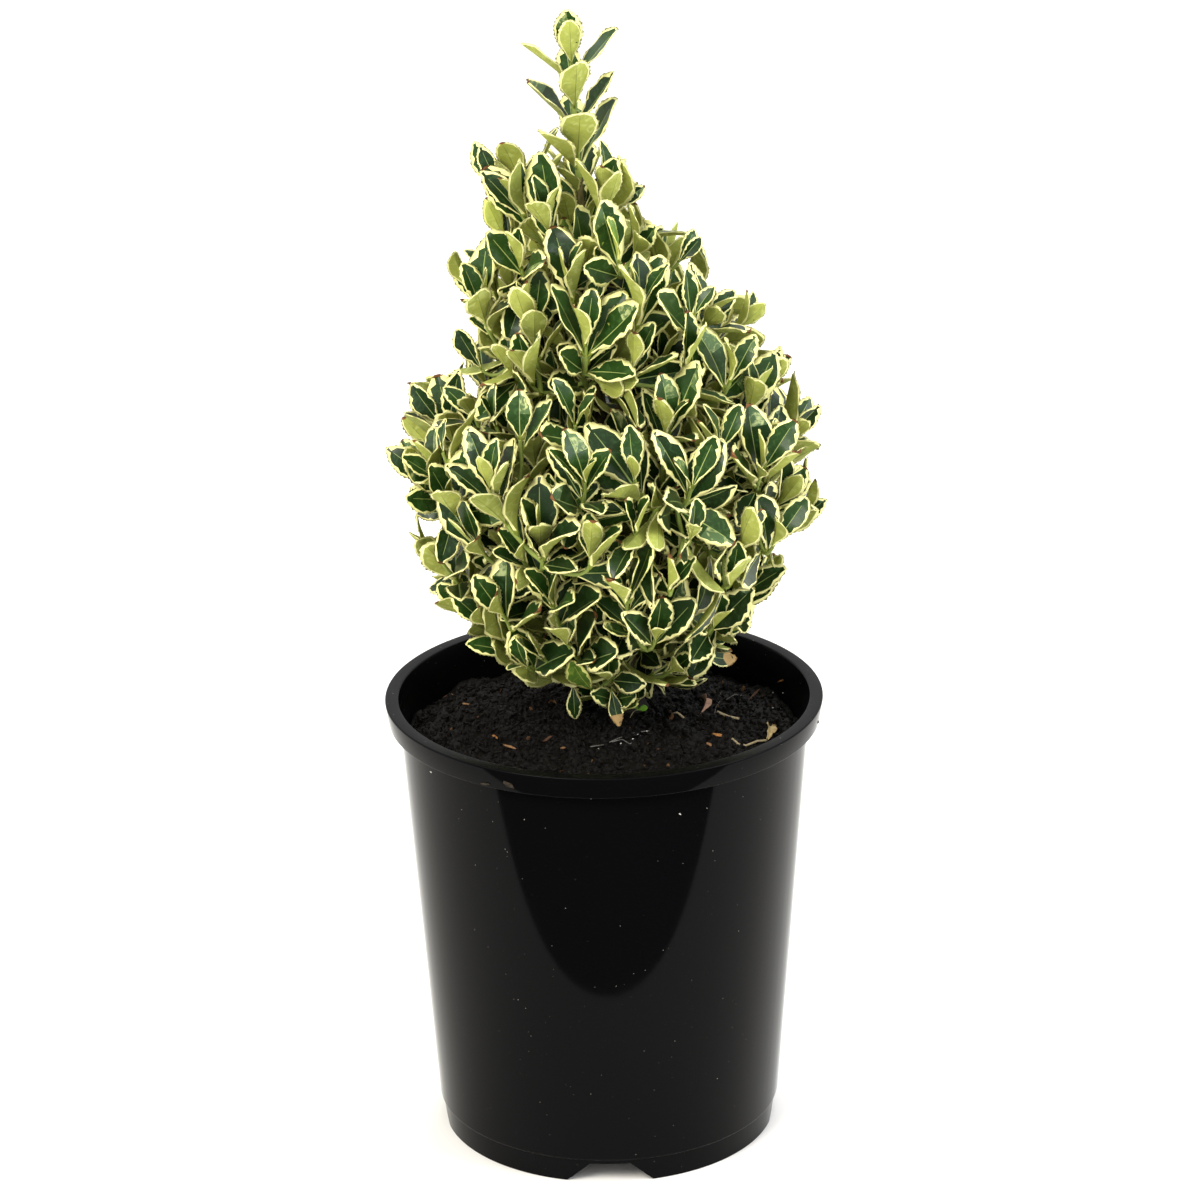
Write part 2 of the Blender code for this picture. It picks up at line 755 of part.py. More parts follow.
def fill_cavities(mesh):
    """Fills each space that leaves have closed in, by removing its shell, which is the one
    that faces inwards."""
    shape = bmesh.new()
    shape.from_mesh(mesh)
    unseen = set(shape.verts)
    while unseen:
        shell = {unseen.pop()}
        edge = list(shell)
        while edge:
            vert = edge.pop()
            beside = {link.other_vert(vert) for link in vert.link_edges} - shell
            shell |= beside
            edge.extend(beside)
        unseen -= shell
        faces = {face for vert in shell for face in vert.link_faces}
        volume = sum(
            face.calc_center_median().dot(face.normal) * face.calc_area() for face in faces
        )
        if volume < 0:
            bmesh.ops.delete(shape, geom=list(shell), context="VERTS")
    shape.to_mesh(mesh)
    shape.free()


def join_mass(mass, growth, core, collection, material, leaf):
    """Fuses the twigs, core and leaves of one mass into a single closed solid."""
    pieces = new_collection(f"{mass.name}_pieces")
    if core:
        pieces.objects.link(core)
    twigs = []
    for number, (points, foot_radius, tip_radius) in enumerate(growth.twigs):
        radii = even_taper(foot_radius, tip_radius, len(points))
        name = f"{mass.name}_twig_{number}"
        twigs.append(tube(name, points, radii, pieces, sides=TWIG_SIDES))
    for number, place in enumerate(growth.leaves):
        leaf_object = add_object(f"{mass.name}_leaf_{number}", leaf.copy(), pieces)
        leaf_object.data.transform(place)
    stem = add_object(f"foliage_{mass.name}", twigs[0].data.copy(), collection, material)
    pieces.objects.unlink(twigs[0])
    union = stem.modifiers.new("Join", "BOOLEAN")
    union.operation = "UNION"
    union.operand_type = "COLLECTION"
    union.collection = pieces
    union.solver = "EXACT"
    apply_modifiers(stem)
    for piece in [*pieces.objects, twigs[0]]:
        bpy.data.objects.remove(piece, do_unlink=True)
    bpy.data.collections.remove(pieces)
    fill_cavities(stem.data)
    stem.data.materials.clear()
    stem.data.materials.append(material)
    return stem


def main():
    clear_scene()
    parts = new_collection("potted_spindle_bush")
    cutters = new_collection("cutters")
    pot_cutters = new_collection("pot_cutters", cutters)
    limb_cutters = new_collection("limb_cutters", cutters)

    plastic = new_material("black_polypropylene", (0.006, 0.006, 0.006), 0.22)
    mix = new_material("potting_mix", (0.012, 0.009, 0.007), 0.95)
    bark = new_material("green_brown_bark", (0.120, 0.095, 0.040), 0.75)
    foliage = new_material("variegated_leaf", (0.220, 0.300, 0.100), 0.45)

    make_pot(parts, pot_cutters, plastic)
    shade_round(turned("potting_mix", mix_profile(), parts, mix).data)

    points, radii = trunk_line()
    shade_round(tube("trunk", points, radii, parts, bark, sides=TRUNK_SIDES).data)
    wide = [radius + GAP for radius in radii]
    mark_as_cutter(tube("trunk_clearance", points, wide, limb_cutters, sides=TRUNK_SIDES))

    shoots = {mass.name: [] for mass in MASSES}
    for tip, heading in scatter_shoots(random.Random(SEED)):
        shoots[nearest_mass(tip).name].append((tip, heading))

    near_limbs = [(points, radii)]
    for mass in MASSES:
        if mass.bough_from is None:
            continue
        line = stretch(limb_route(mass, shoots[mass.name]), 0, BOUGH_SHARE, BOUGH_STEPS)
        base = trunk_radius(mass.bough_from) * BOUGH_BASE
        thickness = even_taper(base, STEM_RADIUS, len(line))
        near_limbs.append((line, thickness))
        bough = tube(f"bough_{mass.name}", line, thickness, parts, bark, BOUGH_SIDES)
        cut_with(bough, limb_cutters)
        shade_round(bough.data)

    sleeves = new_collection("sleeves", cutters)
    keep_clear = bmesh.new()
    for number, (line, thickness) in enumerate(near_limbs):
        wide = [radius + CLEAR_OF_LIMB for radius in thickness]
        sleeve = tube(f"sleeve_{number}", line, wide, sleeves, sides=SLEEVE_SIDES)
        keep_clear.from_mesh(sleeve.data)
        mark_as_cutter(sleeve)
    limbs = BVHTree.FromBMesh(keep_clear)
    keep_clear.free()

    leaf = leaf_mesh(-LEAF_SUNK)
    free_leaf = leaf_mesh(LEAF_FREE)
    wide_leaf = leaf_mesh(LEAF_FREE, CLEAR_OF_MASS)
    finished = []
    count = 0
    for number, mass in enumerate(MASSES):
        dice = random.Random(SEED + number)
        growth = Growth(mass, limbs, finished, free_leaf, wide_leaf, dice)
        core = None
        if mass.bough_from is None:
            grow_spire(growth)
        else:
            stem = grow_mass(mass, shoots[mass.name], growth)
            if mass.dense:
                core = add_object(f"core_{mass.name}", core_mesh(mass, stem), cutters)
                cut_with(core, sleeves)
                cutters.objects.unlink(core)
        solid = join_mass(mass, growth, core, parts, foliage, leaf)
        shape = bmesh.new()
        shape.from_mesh(solid.data)
        finished.append(BVHTree.FromBMesh(shape))
        shape.free()
        faces = sum(len(face.vertices) - 2 for face in solid.data.polygons)
        count += len(growth.leaves)
        print(
            f"{solid.name}: {len(growth.twigs)} twigs of {len(shoots[mass.name])},"
            f" {len(growth.leaves)} leaves, {faces} triangles"
        )
    print(f"{count} leaves")


main()
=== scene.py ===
# %% [markdown]
# # A potted spindle bush
#
# A spindle bush is a small evergreen shrub. This one has cream-edged leaves and stands in
# the black pot that it was grown in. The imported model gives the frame: a plain pot, plain
# limbs and coarse masses of foliage. This lesson replaces each of them with a finer piece
# that keeps to the same places and sizes.
#
# The bush grows again here by the rule that shaped the frame, with many more shoots, so
# that every twig still starts on a limb that is really there.

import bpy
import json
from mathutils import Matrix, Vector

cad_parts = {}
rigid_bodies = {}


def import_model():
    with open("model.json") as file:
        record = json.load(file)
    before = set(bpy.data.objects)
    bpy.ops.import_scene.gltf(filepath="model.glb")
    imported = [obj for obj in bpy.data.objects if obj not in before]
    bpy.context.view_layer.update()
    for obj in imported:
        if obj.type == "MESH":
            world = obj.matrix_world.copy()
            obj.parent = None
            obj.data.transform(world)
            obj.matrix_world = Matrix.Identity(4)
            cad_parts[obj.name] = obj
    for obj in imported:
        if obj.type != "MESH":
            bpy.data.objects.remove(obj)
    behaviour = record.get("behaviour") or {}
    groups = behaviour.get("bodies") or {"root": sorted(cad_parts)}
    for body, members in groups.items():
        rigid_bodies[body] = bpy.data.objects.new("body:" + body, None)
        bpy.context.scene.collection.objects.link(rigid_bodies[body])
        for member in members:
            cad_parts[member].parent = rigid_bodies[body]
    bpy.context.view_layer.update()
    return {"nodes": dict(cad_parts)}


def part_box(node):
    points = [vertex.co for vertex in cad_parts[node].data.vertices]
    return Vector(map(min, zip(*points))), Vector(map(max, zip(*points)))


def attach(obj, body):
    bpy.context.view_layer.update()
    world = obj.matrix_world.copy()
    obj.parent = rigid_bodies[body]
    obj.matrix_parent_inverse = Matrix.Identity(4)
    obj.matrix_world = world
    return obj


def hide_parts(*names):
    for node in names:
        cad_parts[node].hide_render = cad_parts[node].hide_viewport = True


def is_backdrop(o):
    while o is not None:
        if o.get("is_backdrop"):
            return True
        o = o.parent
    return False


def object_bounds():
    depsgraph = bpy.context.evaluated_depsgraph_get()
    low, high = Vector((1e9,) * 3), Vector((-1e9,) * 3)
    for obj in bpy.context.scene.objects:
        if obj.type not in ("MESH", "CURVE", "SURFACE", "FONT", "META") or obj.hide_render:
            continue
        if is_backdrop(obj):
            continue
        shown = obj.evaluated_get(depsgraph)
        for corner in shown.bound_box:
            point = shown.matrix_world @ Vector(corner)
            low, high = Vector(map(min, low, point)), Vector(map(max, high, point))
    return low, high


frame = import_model()
print("nodes in the frame:", len(frame["nodes"]))

# %% Modules and small helpers
import json
import math
import random
from collections import namedtuple

import bmesh
import bpy
import numpy as np
from mathutils import Matrix, Vector, noise
from mathutils.bvhtree import BVHTree

UP = Vector((0, 0, 1))
MM = 0.001


def linear(hex_colour):
    """An sRGB hex colour as the linear red, green, blue and alpha that shaders take."""
    channels = [int(hex_colour[k : k + 2], 16) / 255 for k in (1, 3, 5)]
    curved = [c / 12.92 if c <= 0.04045 else ((c + 0.055) / 1.055) ** 2.4 for c in channels]
    return (*curved, 1.0)


def add_node(tree, kind, inputs=None, **settings):
    """Adds a node, applies its settings, and fills or links its inputs."""
    made = tree.nodes.new(kind)
    for name, value in settings.items():
        setattr(made, name, value)
    for key, value in (inputs or {}).items():
        if isinstance(value, bpy.types.NodeSocket):
            tree.links.new(value, made.inputs[key])
        else:
            made.inputs[key].default_value = value
    return made


def add_piece(name, mesh, slot, *materials):
    """Links a mesh as a named piece with its materials. Its slot is not used."""
    piece = bpy.data.objects.new(name, mesh)
    bpy.context.scene.collection.objects.link(piece)
    for material in materials:
        mesh.materials.append(material)
    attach(piece, "root")
    return piece


# %% [markdown]
# ## The camera
#
# The rim of a round pot shows as an ellipse. Its width, its height and the place of the
# foot ring under it fix how far away the camera stood and how steeply it looked down. This
# camera was worked out that way, for a pot with a rim of 200 mm. The view leans by less
# than a degree, as hand-held pictures do.

# %% Camera
FRAME_PIXELS = 1200
FOCAL_PIXELS = 4732
PRINCIPAL_X = 602.7
CAMERA_PITCH = math.radians(21.03)
CAMERA_ROLL = math.radians(-0.76)
CAMERA_PLACE = Vector((0, -2.0, 1.0243))
SENSOR_MM = 36

forward = Vector((0, math.cos(CAMERA_PITCH), -math.sin(CAMERA_PITCH)))
level_right = Vector((1, 0, 0))
level_up = level_right.cross(forward)
right = level_right * math.cos(CAMERA_ROLL) + level_up * math.sin(CAMERA_ROLL)
above = level_up * math.cos(CAMERA_ROLL) - level_right * math.sin(CAMERA_ROLL)

camera = bpy.data.objects.new("camera", bpy.data.cameras.new("camera"))
camera.data.lens = FOCAL_PIXELS / FRAME_PIXELS * SENSOR_MM
camera.data.sensor_width = SENSOR_MM
camera.data.shift_x = (FRAME_PIXELS / 2 - PRINCIPAL_X) / FRAME_PIXELS
camera.data.clip_end = 50
camera.matrix_world = Matrix.Translation(CAMERA_PLACE) @ Matrix(
    (right, above, -forward)
).transposed().to_4x4()
bpy.context.scene.collection.objects.link(camera)
bpy.context.scene.camera = camera
print("lens:", round(camera.data.lens, 1), "mm")


def seen_at(across, down, height):
    """The point at a height that shows at a pixel of the photograph."""
    ray = (
        forward
        + right * (across - PRINCIPAL_X) / FOCAL_PIXELS
        - above * (down - FRAME_PIXELS / 2) / FOCAL_PIXELS
    )
    return CAMERA_PLACE + ray * (height - CAMERA_PLACE.z) / ray.z


# %% [markdown]
# ## The studio
#
# The picture was taken on a white sheet in soft light. The sheet ends a little way in
# front of the pot, and the pot's glossy wall mirrors that edge as a dark arch. The floor
# here goes on in front of the edge, but the part beyond it doesn't show in reflections,
# so the arch appears and the floor still looks whole from every side.

# %% Floor and light
FLOOR_SIZE = 40.0
SHEET_EDGE = -0.2105


def flat_panel(name, low, high, material):
    """A level rectangle on the ground, marked as no part of the object."""
    mesh = bpy.data.meshes.new(name)
    corners = [(low[0], low[1]), (high[0], low[1]), (high[0], high[1]), (low[0], high[1])]
    mesh.from_pydata([(x, y, 0) for x, y in corners], [], [(0, 1, 2, 3)])
    mesh.materials.append(material)
    panel = bpy.data.objects.new(name, mesh)
    bpy.context.scene.collection.objects.link(panel)
    panel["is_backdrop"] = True
    return panel


white_paper = bpy.data.materials.new("white_background_paper")
white_paper.use_nodes = True
paper = white_paper.node_tree.nodes["Principled BSDF"]
paper.inputs["Base Color"].default_value = linear("#f7f5f0")
paper.inputs["Roughness"].default_value = 0.9
paper.inputs["Specular IOR Level"].default_value = 0.1

flat_panel("floor", (-FLOOR_SIZE, SHEET_EDGE), (FLOOR_SIZE, FLOOR_SIZE), white_paper)
apron = flat_panel("floor_front", (-FLOOR_SIZE, -FLOOR_SIZE), (FLOOR_SIZE, SHEET_EDGE), white_paper)
apron.visible_glossy = False

world = bpy.data.worlds.new("studio")
bpy.context.scene.world = world
world.use_nodes = True
sky = world.node_tree
background = sky.nodes["Background"]
direction = add_node(sky, "ShaderNodeTexCoord")
parts = add_node(sky, "ShaderNodeSeparateXYZ", {0: direction.outputs["Generated"]})
fade = add_node(
    sky,
    "ShaderNodeMapRange",
    {"Value": parts.outputs["Z"], "From Min": -0.05, "From Max": -0.01, "To Min": 0.02, "To Max": 1.0},
)
sky.links.new(fade.outputs["Result"], background.inputs["Strength"])
background.inputs["Color"].default_value = linear("#ffffff")

LIGHTS = {
    "key_front_left": ((-1.1, -1.5, 1.9), 1.1, 53, "#fffaf0"),
    "fill_right": ((1.5, -0.6, 1.1), 0.9, 20, "#f0f5ff"),
    "top_back": ((0.3, 1.0, 1.9), 1.0, 16, "#ffffff"),
}
for name, (place, size, power, colour) in LIGHTS.items():
    lamp = bpy.data.lights.new(name, "AREA")
    lamp.size = size
    lamp.energy = power
    lamp.color = linear(colour)[:3]
    holder = bpy.data.objects.new(name, lamp)
    holder.matrix_world = Matrix.Translation(place) @ (
        Vector((0, 0, 0.3)) - Vector(place)
    ).to_track_quat("-Z", "Y").to_matrix().to_4x4()
    bpy.context.scene.collection.objects.link(holder)
bpy.context.scene.view_settings.view_transform = "Standard"
print("lights:", len(LIGHTS))

# %% [markdown]
# ## The pot's plastic
#
# Nursery pots are injection moulded from black polypropylene. The steel mould is polished
# on the outside of the wall, so the wall has a wet-looking gloss with a very faint ripple,
# like orange peel, where the plastic shrank as it cooled. The top of the rim is rubbed dull
# by stacking. Both finishes share one base colour, and only the gloss differs.

# %% Polypropylene, glossy and rubbed


def black_polypropylene(name, roughness, ripple_mm, speck_share):
    """Moulded black plastic with ripple in its gloss and a little dust."""
    material = bpy.data.materials.new(name)
    material.use_nodes = True
    tree = material.node_tree
    shader = tree.nodes["Principled BSDF"]
    place = add_node(tree, "ShaderNodeTexCoord")
    # Dust grains are about 0.3 mm, so one noise cell is a third of a millimetre.
    grains = add_node(
        tree,
        "ShaderNodeTexNoise",
        {"Vector": place.outputs["Object"], "Scale": 900.0, "Detail": 1.0},
    )
    dust = add_node(
        tree,
        "ShaderNodeMapRange",
        {
            "Value": grains.outputs["Fac"],
            "From Min": 0.80 - speck_share,
            "From Max": 0.84 - speck_share,
        },
    )
    tint = add_node(
        tree,
        "ShaderNodeMix",
        {0: dust.outputs["Result"], 6: linear("#070708"), 7: linear("#8d877c")},
        data_type="RGBA",
    )
    # Handling marks are a few centimetres across.
    marks = add_node(
        tree,
        "ShaderNodeTexNoise",
        {"Vector": place.outputs["Object"], "Scale": 28.0, "Detail": 4.0},
    )
    gloss = add_node(
        tree,
        "ShaderNodeMapRange",
        {
            "Value": marks.outputs["Fac"],
            "From Min": 0.3,
            "From Max": 0.7,
            "To Min": roughness * 0.85,
            "To Max": roughness * 1.2,
        },
    )
    # Moulding ripple is about 3 mm from crest to crest.
    ripple = add_node(
        tree,
        "ShaderNodeTexNoise",
        {"Vector": place.outputs["Object"], "Scale": 330.0, "Detail": 2.0},
    )
    bump = add_node(
        tree,
        "ShaderNodeBump",
        {"Height": ripple.outputs["Fac"], "Distance": ripple_mm * MM, "Strength": 0.5},
    )
    tree.links.new(tint.outputs[2], shader.inputs["Base Color"])
    tree.links.new(gloss.outputs["Result"], shader.inputs["Roughness"])
    tree.links.new(bump.outputs["Normal"], shader.inputs["Normal"])
    shader.inputs["IOR"].default_value = 1.49
    shader.inputs["Specular IOR Level"].default_value = 0.055
    return material


glossy_plastic = black_polypropylene("black_polypropylene_glossy", 0.07, 0.006, 0.0)
rubbed_plastic = black_polypropylene("black_polypropylene_rubbed", 0.30, 0.03, 0.03)
print("plastics made")

# %% [markdown]
# ## The pot
#
# The pot is round, so its wall is one outline turned about the pot's axis. The outline goes
# up the inside, over the flat rim, down the skirt that stiffens the rim, and down the
# tapered wall to the stepped foot. Real moulded corners are never sharp, so each corner is
# cut by a small arc before the outline is turned. The arches in the foot ring and the drain
# holes are cut afterwards.

# %% Pot sizes
POT_HEIGHT = 210 * MM
RIM_RADIUS = 100 * MM
RIM_FLAT_WIDTH = 6.2 * MM
SKIRT_DEPTH = 10 * MM
SKIRT_DRAFT = 1.5 * MM
SKIRT_WALL = 1.4 * MM
BODY_TOP_RADIUS = 93.4 * MM
BODY_FOOT_RADIUS = 79.2 * MM
WALL = 1.4 * MM
FOOT_HEIGHT = 11.5 * MM
FOOT_STEP = 0.8 * MM
FOOT_RADIUS = 77.2 * MM
FOOT_WALL = 2.0 * MM
FLOOR_UNDER = 10.5 * MM
FLOOR_TOP = 12.5 * MM
UNDER_RIM = POT_HEIGHT - 2.2 * MM
ARCH_HEIGHT = 9.7 * MM
ARCH_TOP_WIDTH = 18.5 * MM
ARCH_FOOT_WIDTH = 39.8 * MM
DRAIN_RADIUS = 5 * MM
DRAIN_CIRCLE = 52 * MM
POT_SIDES = 160


def body_radius(height):
    """Outer radius of the tapered wall."""
    foot = FOOT_HEIGHT + FOOT_STEP
    share = (height - foot) / (POT_HEIGHT - SKIRT_DEPTH - foot)
    return BODY_FOOT_RADIUS + share * (BODY_TOP_RADIUS - BODY_FOOT_RADIUS)


SKIRT_FOOT = POT_HEIGHT - SKIRT_DEPTH
RIM_INNER = RIM_RADIUS - RIM_FLAT_WIDTH
SKIRT_RADIUS = RIM_RADIUS - SKIRT_DRAFT
POT_OUTLINE = (
    # radius, height, rounding of the corner
    (0, FLOOR_TOP, 0),
    (body_radius(FLOOR_TOP) - WALL, FLOOR_TOP, 1.5 * MM),
    (body_radius(SKIRT_FOOT) - WALL, SKIRT_FOOT, 2.0 * MM),
    (RIM_INNER, POT_HEIGHT, 0.7 * MM),
    (RIM_RADIUS, POT_HEIGHT, 0.9 * MM),
    (SKIRT_RADIUS, SKIRT_FOOT, 0.4 * MM),
    (SKIRT_RADIUS - SKIRT_WALL, SKIRT_FOOT, 0.4 * MM),
    (RIM_RADIUS - SKIRT_WALL - 0.6 * MM, UNDER_RIM, 0.5 * MM),
    (RIM_INNER + WALL, UNDER_RIM, 0.8 * MM),
    (body_radius(SKIRT_FOOT), SKIRT_FOOT, 1.5 * MM),
    (BODY_FOOT_RADIUS, FOOT_HEIGHT + FOOT_STEP, 0.5 * MM),
    (FOOT_RADIUS + FOOT_STEP, FOOT_HEIGHT, 0.3 * MM),
    (FOOT_RADIUS, 0, 0.4 * MM),
    (FOOT_RADIUS - FOOT_WALL, 0, 0.4 * MM),
    (FOOT_RADIUS - FOOT_WALL, FLOOR_UNDER, 0.8 * MM),
    (0, FLOOR_UNDER, 0),
)
print("pot outline corners:", len(POT_OUTLINE))

# %% Turn, cut and finish the pot


def rounded(outline, steps=4):
    """An outline with each corner replaced by a short arc."""
    points = []
    for k, (radius, height, bend) in enumerate(outline):
        corner = Vector((radius, height))
        if not bend:
            points.append(corner)
            continue
        before = (Vector(outline[k - 1][:2]) - corner).normalized() * bend
        after = (Vector(outline[k + 1][:2]) - corner).normalized() * bend
        for step in range(steps + 1):
            t = step / steps
            points.append(corner + before * (1 - t) ** 2 + after * t**2)
    return points


def turn_outline(name, outline, sides):
    """Turns an outline of radius and height about the Z axis into a closed mesh."""
    mesh = bpy.data.meshes.new(name)
    mesh.from_pydata(
        [(x, 0, z) for x, z in outline], [(k, k + 1) for k in range(len(outline) - 1)], []
    )
    turned = bpy.data.objects.new(name, mesh)
    bpy.context.scene.collection.objects.link(turned)
    screw = turned.modifiers.new("Turn", "SCREW")
    screw.steps = screw.render_steps = sides
    screw.use_merge_vertices = True
    screw.merge_threshold = 1e-6
    return turned


def finished_mesh(obj, name):
    """The mesh an object shows with its modifiers, after which the object is removed."""
    bpy.context.view_layer.update()
    graph = bpy.context.evaluated_depsgraph_get()
    mesh = bpy.data.meshes.new_from_object(obj.evaluated_get(graph))
    mesh.name = name
    bpy.data.objects.remove(obj, do_unlink=True)
    return mesh


cutters = bpy.data.collections.new("pot_cutters")
bpy.context.scene.collection.children.link(cutters)
for turn in (0, 1):
    arch = bmesh.new()
    bmesh.ops.create_cube(arch, size=1)
    for vert in arch.verts:
        low = vert.co.z < 0
        over = 0.6 * MM
        slope = (ARCH_FOOT_WIDTH - ARCH_TOP_WIDTH) / ARCH_HEIGHT
        width = ARCH_FOOT_WIDTH + slope * over if low else ARCH_TOP_WIDTH
        vert.co = (
            math.copysign(width / 2, vert.co.x),
            math.copysign(RIM_RADIUS, vert.co.y),
            -over if low else ARCH_HEIGHT,
        )
    bmesh.ops.rotate(arch, verts=arch.verts, matrix=Matrix.Rotation(turn * math.pi / 2, 3, "Z"))
    mesh = bpy.data.meshes.new("arch")
    arch.to_mesh(mesh)
    arch.free()
    cutters.objects.link(bpy.data.objects.new(f"arch_{turn}", mesh))
for hole in range(4):
    angle = math.radians(45 + 90 * hole)
    drain = bmesh.new()
    bmesh.ops.create_cone(
        drain,
        cap_ends=True,
        segments=32,
        radius1=DRAIN_RADIUS,
        radius2=DRAIN_RADIUS,
        depth=8 * MM,
        matrix=Matrix.Translation(
            (DRAIN_CIRCLE * math.cos(angle), DRAIN_CIRCLE * math.sin(angle), FOOT_HEIGHT)
        ),
    )
    mesh = bpy.data.meshes.new("drain")
    drain.to_mesh(mesh)
    drain.free()
    cutters.objects.link(bpy.data.objects.new(f"drain_{hole}", mesh))

turned_pot = turn_outline("pot_turned", rounded(POT_OUTLINE), POT_SIDES)
cut = turned_pot.modifiers.new("Cut", "BOOLEAN")
cut.operation = "DIFFERENCE"
cut.operand_type = "COLLECTION"
cut.collection = cutters
cut.solver = "EXACT"
pot_mesh = finished_mesh(turned_pot, "nursery_pot")
for cutter in list(cutters.objects):
    bpy.data.objects.remove(cutter, do_unlink=True)
bpy.data.collections.remove(cutters)

pot_mesh.materials.clear()
nursery_pot = add_piece(
    "nursery_pot", pot_mesh, "black_polypropylene", glossy_plastic, rubbed_plastic
)
for face in pot_mesh.polygons:
    on_rim = face.center.z > POT_HEIGHT - 0.5 * MM and face.normal.z > 0.3
    inside = math.hypot(face.center.x, face.center.y) < body_radius(face.center.z) - WALL / 2
    face.material_index = 1 if on_rim or (inside and face.center.z > FLOOR_UNDER) else 0
pot_mesh.shade_smooth()
pot_mesh.set_sharp_from_angle(angle=math.radians(50))
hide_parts("pot")
print("pot faces:", len(pot_mesh.polygons))

# %% [markdown]
# ## Where the limbs run
#
# The frame's limbs and masses follow a rule: a leaning leader, a crown whose reach is
# given at each height, shoots scattered evenly under its skin, and one bough for each mass,
# aimed at the middle of its shoots. The same rule is written out here, so that finer limbs
# land where the frame's limbs are.

# %% The leader and the crown
GAP = 0.3 * MM
MIX_EDGE_HEIGHT = 190 * MM
MIX_CROWN_HEIGHT = 197 * MM
MIX_LEVEL_RADIUS = 34 * MM
TRUNK_FOOT = (0.012, 0.014)
TRUNK_TIP = (-0.0080, 0.006, 0.452)
TRUNK_RADIUS = 5.0 * MM
TRUNK_TIP_RADIUS = 1.5 * MM
FLARE = 3.6 * MM
FLARE_HEIGHT = 6 * MM
TRUNK_SWAY = 1.2 * MM
CROWN_TIERS = (
    # height, reach to the left, reach to the right
    (0.204, -0.004, 0.026),
    (0.214, -0.034, 0.040),
    (0.230, -0.056, 0.060),
    (0.258, -0.080, 0.076),
    (0.284, -0.086, 0.090),
    (0.300, -0.082, 0.098),
    (0.330, -0.096, 0.097),
    (0.350, -0.084, 0.092),
    (0.364, -0.060, 0.085),
    (0.376, -0.052, 0.080),
    (0.400, -0.062, 0.066),
    (0.420, -0.062, 0.045),
    (0.444, -0.050, 0.022),
    (0.466, -0.050, 0.012),
    (0.482, -0.032, 0.012),
    (0.514, -0.029, 0.013),
    (0.528, -0.018, 0.000),
)
CROWN_WAVE = 0.06
CROWN_WAVES = 3
CROWN_WAVE_TURN = 40
CROWN_AXIS_MARGIN = 0.004
SPIRE_FOOT = 0.470


MIX_REACH = body_radius(MIX_EDGE_HEIGHT) - WALL - GAP


def mix_dome(radius):
    """Height of the mix at a radius: level round the stem, then a shallow fall."""
    share = min(max((radius - MIX_LEVEL_RADIUS) / (MIX_REACH - MIX_LEVEL_RADIUS), 0), 1)
    return MIX_CROWN_HEIGHT - (MIX_CROWN_HEIGHT - MIX_EDGE_HEIGHT) * share**1.5


def trunk_point(height):
    """Centre of the leader at a height: a straight lean with a slight sway."""
    start = Vector((*TRUNK_FOOT, MIX_CROWN_HEIGHT + GAP))
    share = (height - start.z) / (TRUNK_TIP[2] - start.z)
    point = start.lerp(Vector(TRUNK_TIP), share)
    point.x += TRUNK_SWAY * math.sin(2 * math.pi * share)
    point.y += TRUNK_SWAY * math.sin(math.pi * share)
    return point


def trunk_radius(height):
    """Radius of the leader: an even taper, with a flare over the mix."""
    above_mix = height - MIX_CROWN_HEIGHT - GAP
    share = above_mix / (TRUNK_TIP[2] - MIX_CROWN_HEIGHT - GAP)
    flare = FLARE * math.exp(-above_mix / FLARE_HEIGHT)
    return TRUNK_RADIUS + share * (TRUNK_TIP_RADIUS - TRUNK_RADIUS) + flare


def crown_section(height):
    """The crown's axis at a height, and its half widths to the left, right and in depth."""
    low, high = CROWN_TIERS[0], CROWN_TIERS[-1]
    for one, other in zip(CROWN_TIERS, CROWN_TIERS[1:]):
        if one[0] <= height <= other[0]:
            low, high = one, other
            break
    share = min(max((height - low[0]) / (high[0] - low[0]), 0), 1)
    left, right = (low[k] + share * (high[k] - low[k]) for k in (1, 2))
    axis = trunk_point(height)
    middle = min(max(axis.x, left + CROWN_AXIS_MARGIN), right - CROWN_AXIS_MARGIN)
    return Vector((middle, axis.y, height)), middle - left, right - middle, (right - left) / 2


def crown_radius(height, azimuth):
    """How far the crown reaches from its axis, at a height and in a direction."""
    _, left, right, depth = crown_section(height)
    across = right if math.cos(azimuth) > 0 else left
    reach = 1 / math.hypot(math.cos(azimuth) / across, math.sin(azimuth) / depth)
    wave = math.sin(CROWN_WAVES * azimuth + CROWN_WAVE_TURN * height)
    return reach * (1 + CROWN_WAVE * wave * math.sin(azimuth) ** 2)


def skin_point(height, azimuth):
    """A point on the crown's skin, and the level direction from its axis to it."""
    out = Vector((math.cos(azimuth), math.sin(azimuth), 0))
    return crown_section(height)[0] + out * crown_radius(height, azimuth), out


def crown_share(height):
    """How far up the crown a height is, from 0 at its foot to 1 at its top."""
    return (height - CROWN_TIERS[0][0]) / (CROWN_TIERS[-1][0] - CROWN_TIERS[0][0])


print("leader's height:", round(1000 * (TRUNK_TIP[2] - MIX_CROWN_HEIGHT)), "mm")

# %% Shoots, masses and boughs
SEED = 7
FRAME_SPACING = (0.0290, 0.0185)
FRAME_LEAF = 0.032
LEAF_REACH = 0.86
SHOOT_TRIES = 9000
CLIMB_FOOT = 0.10
CLIMB_TOP = 2.0
BOUGH_ARRIVAL = 0.42
BOUGH_SHARE = 0.62
BOUGH_BASE = 0.62
HEART_DEPTH = 0.014
STEM_RADIUS = 1.7 * MM

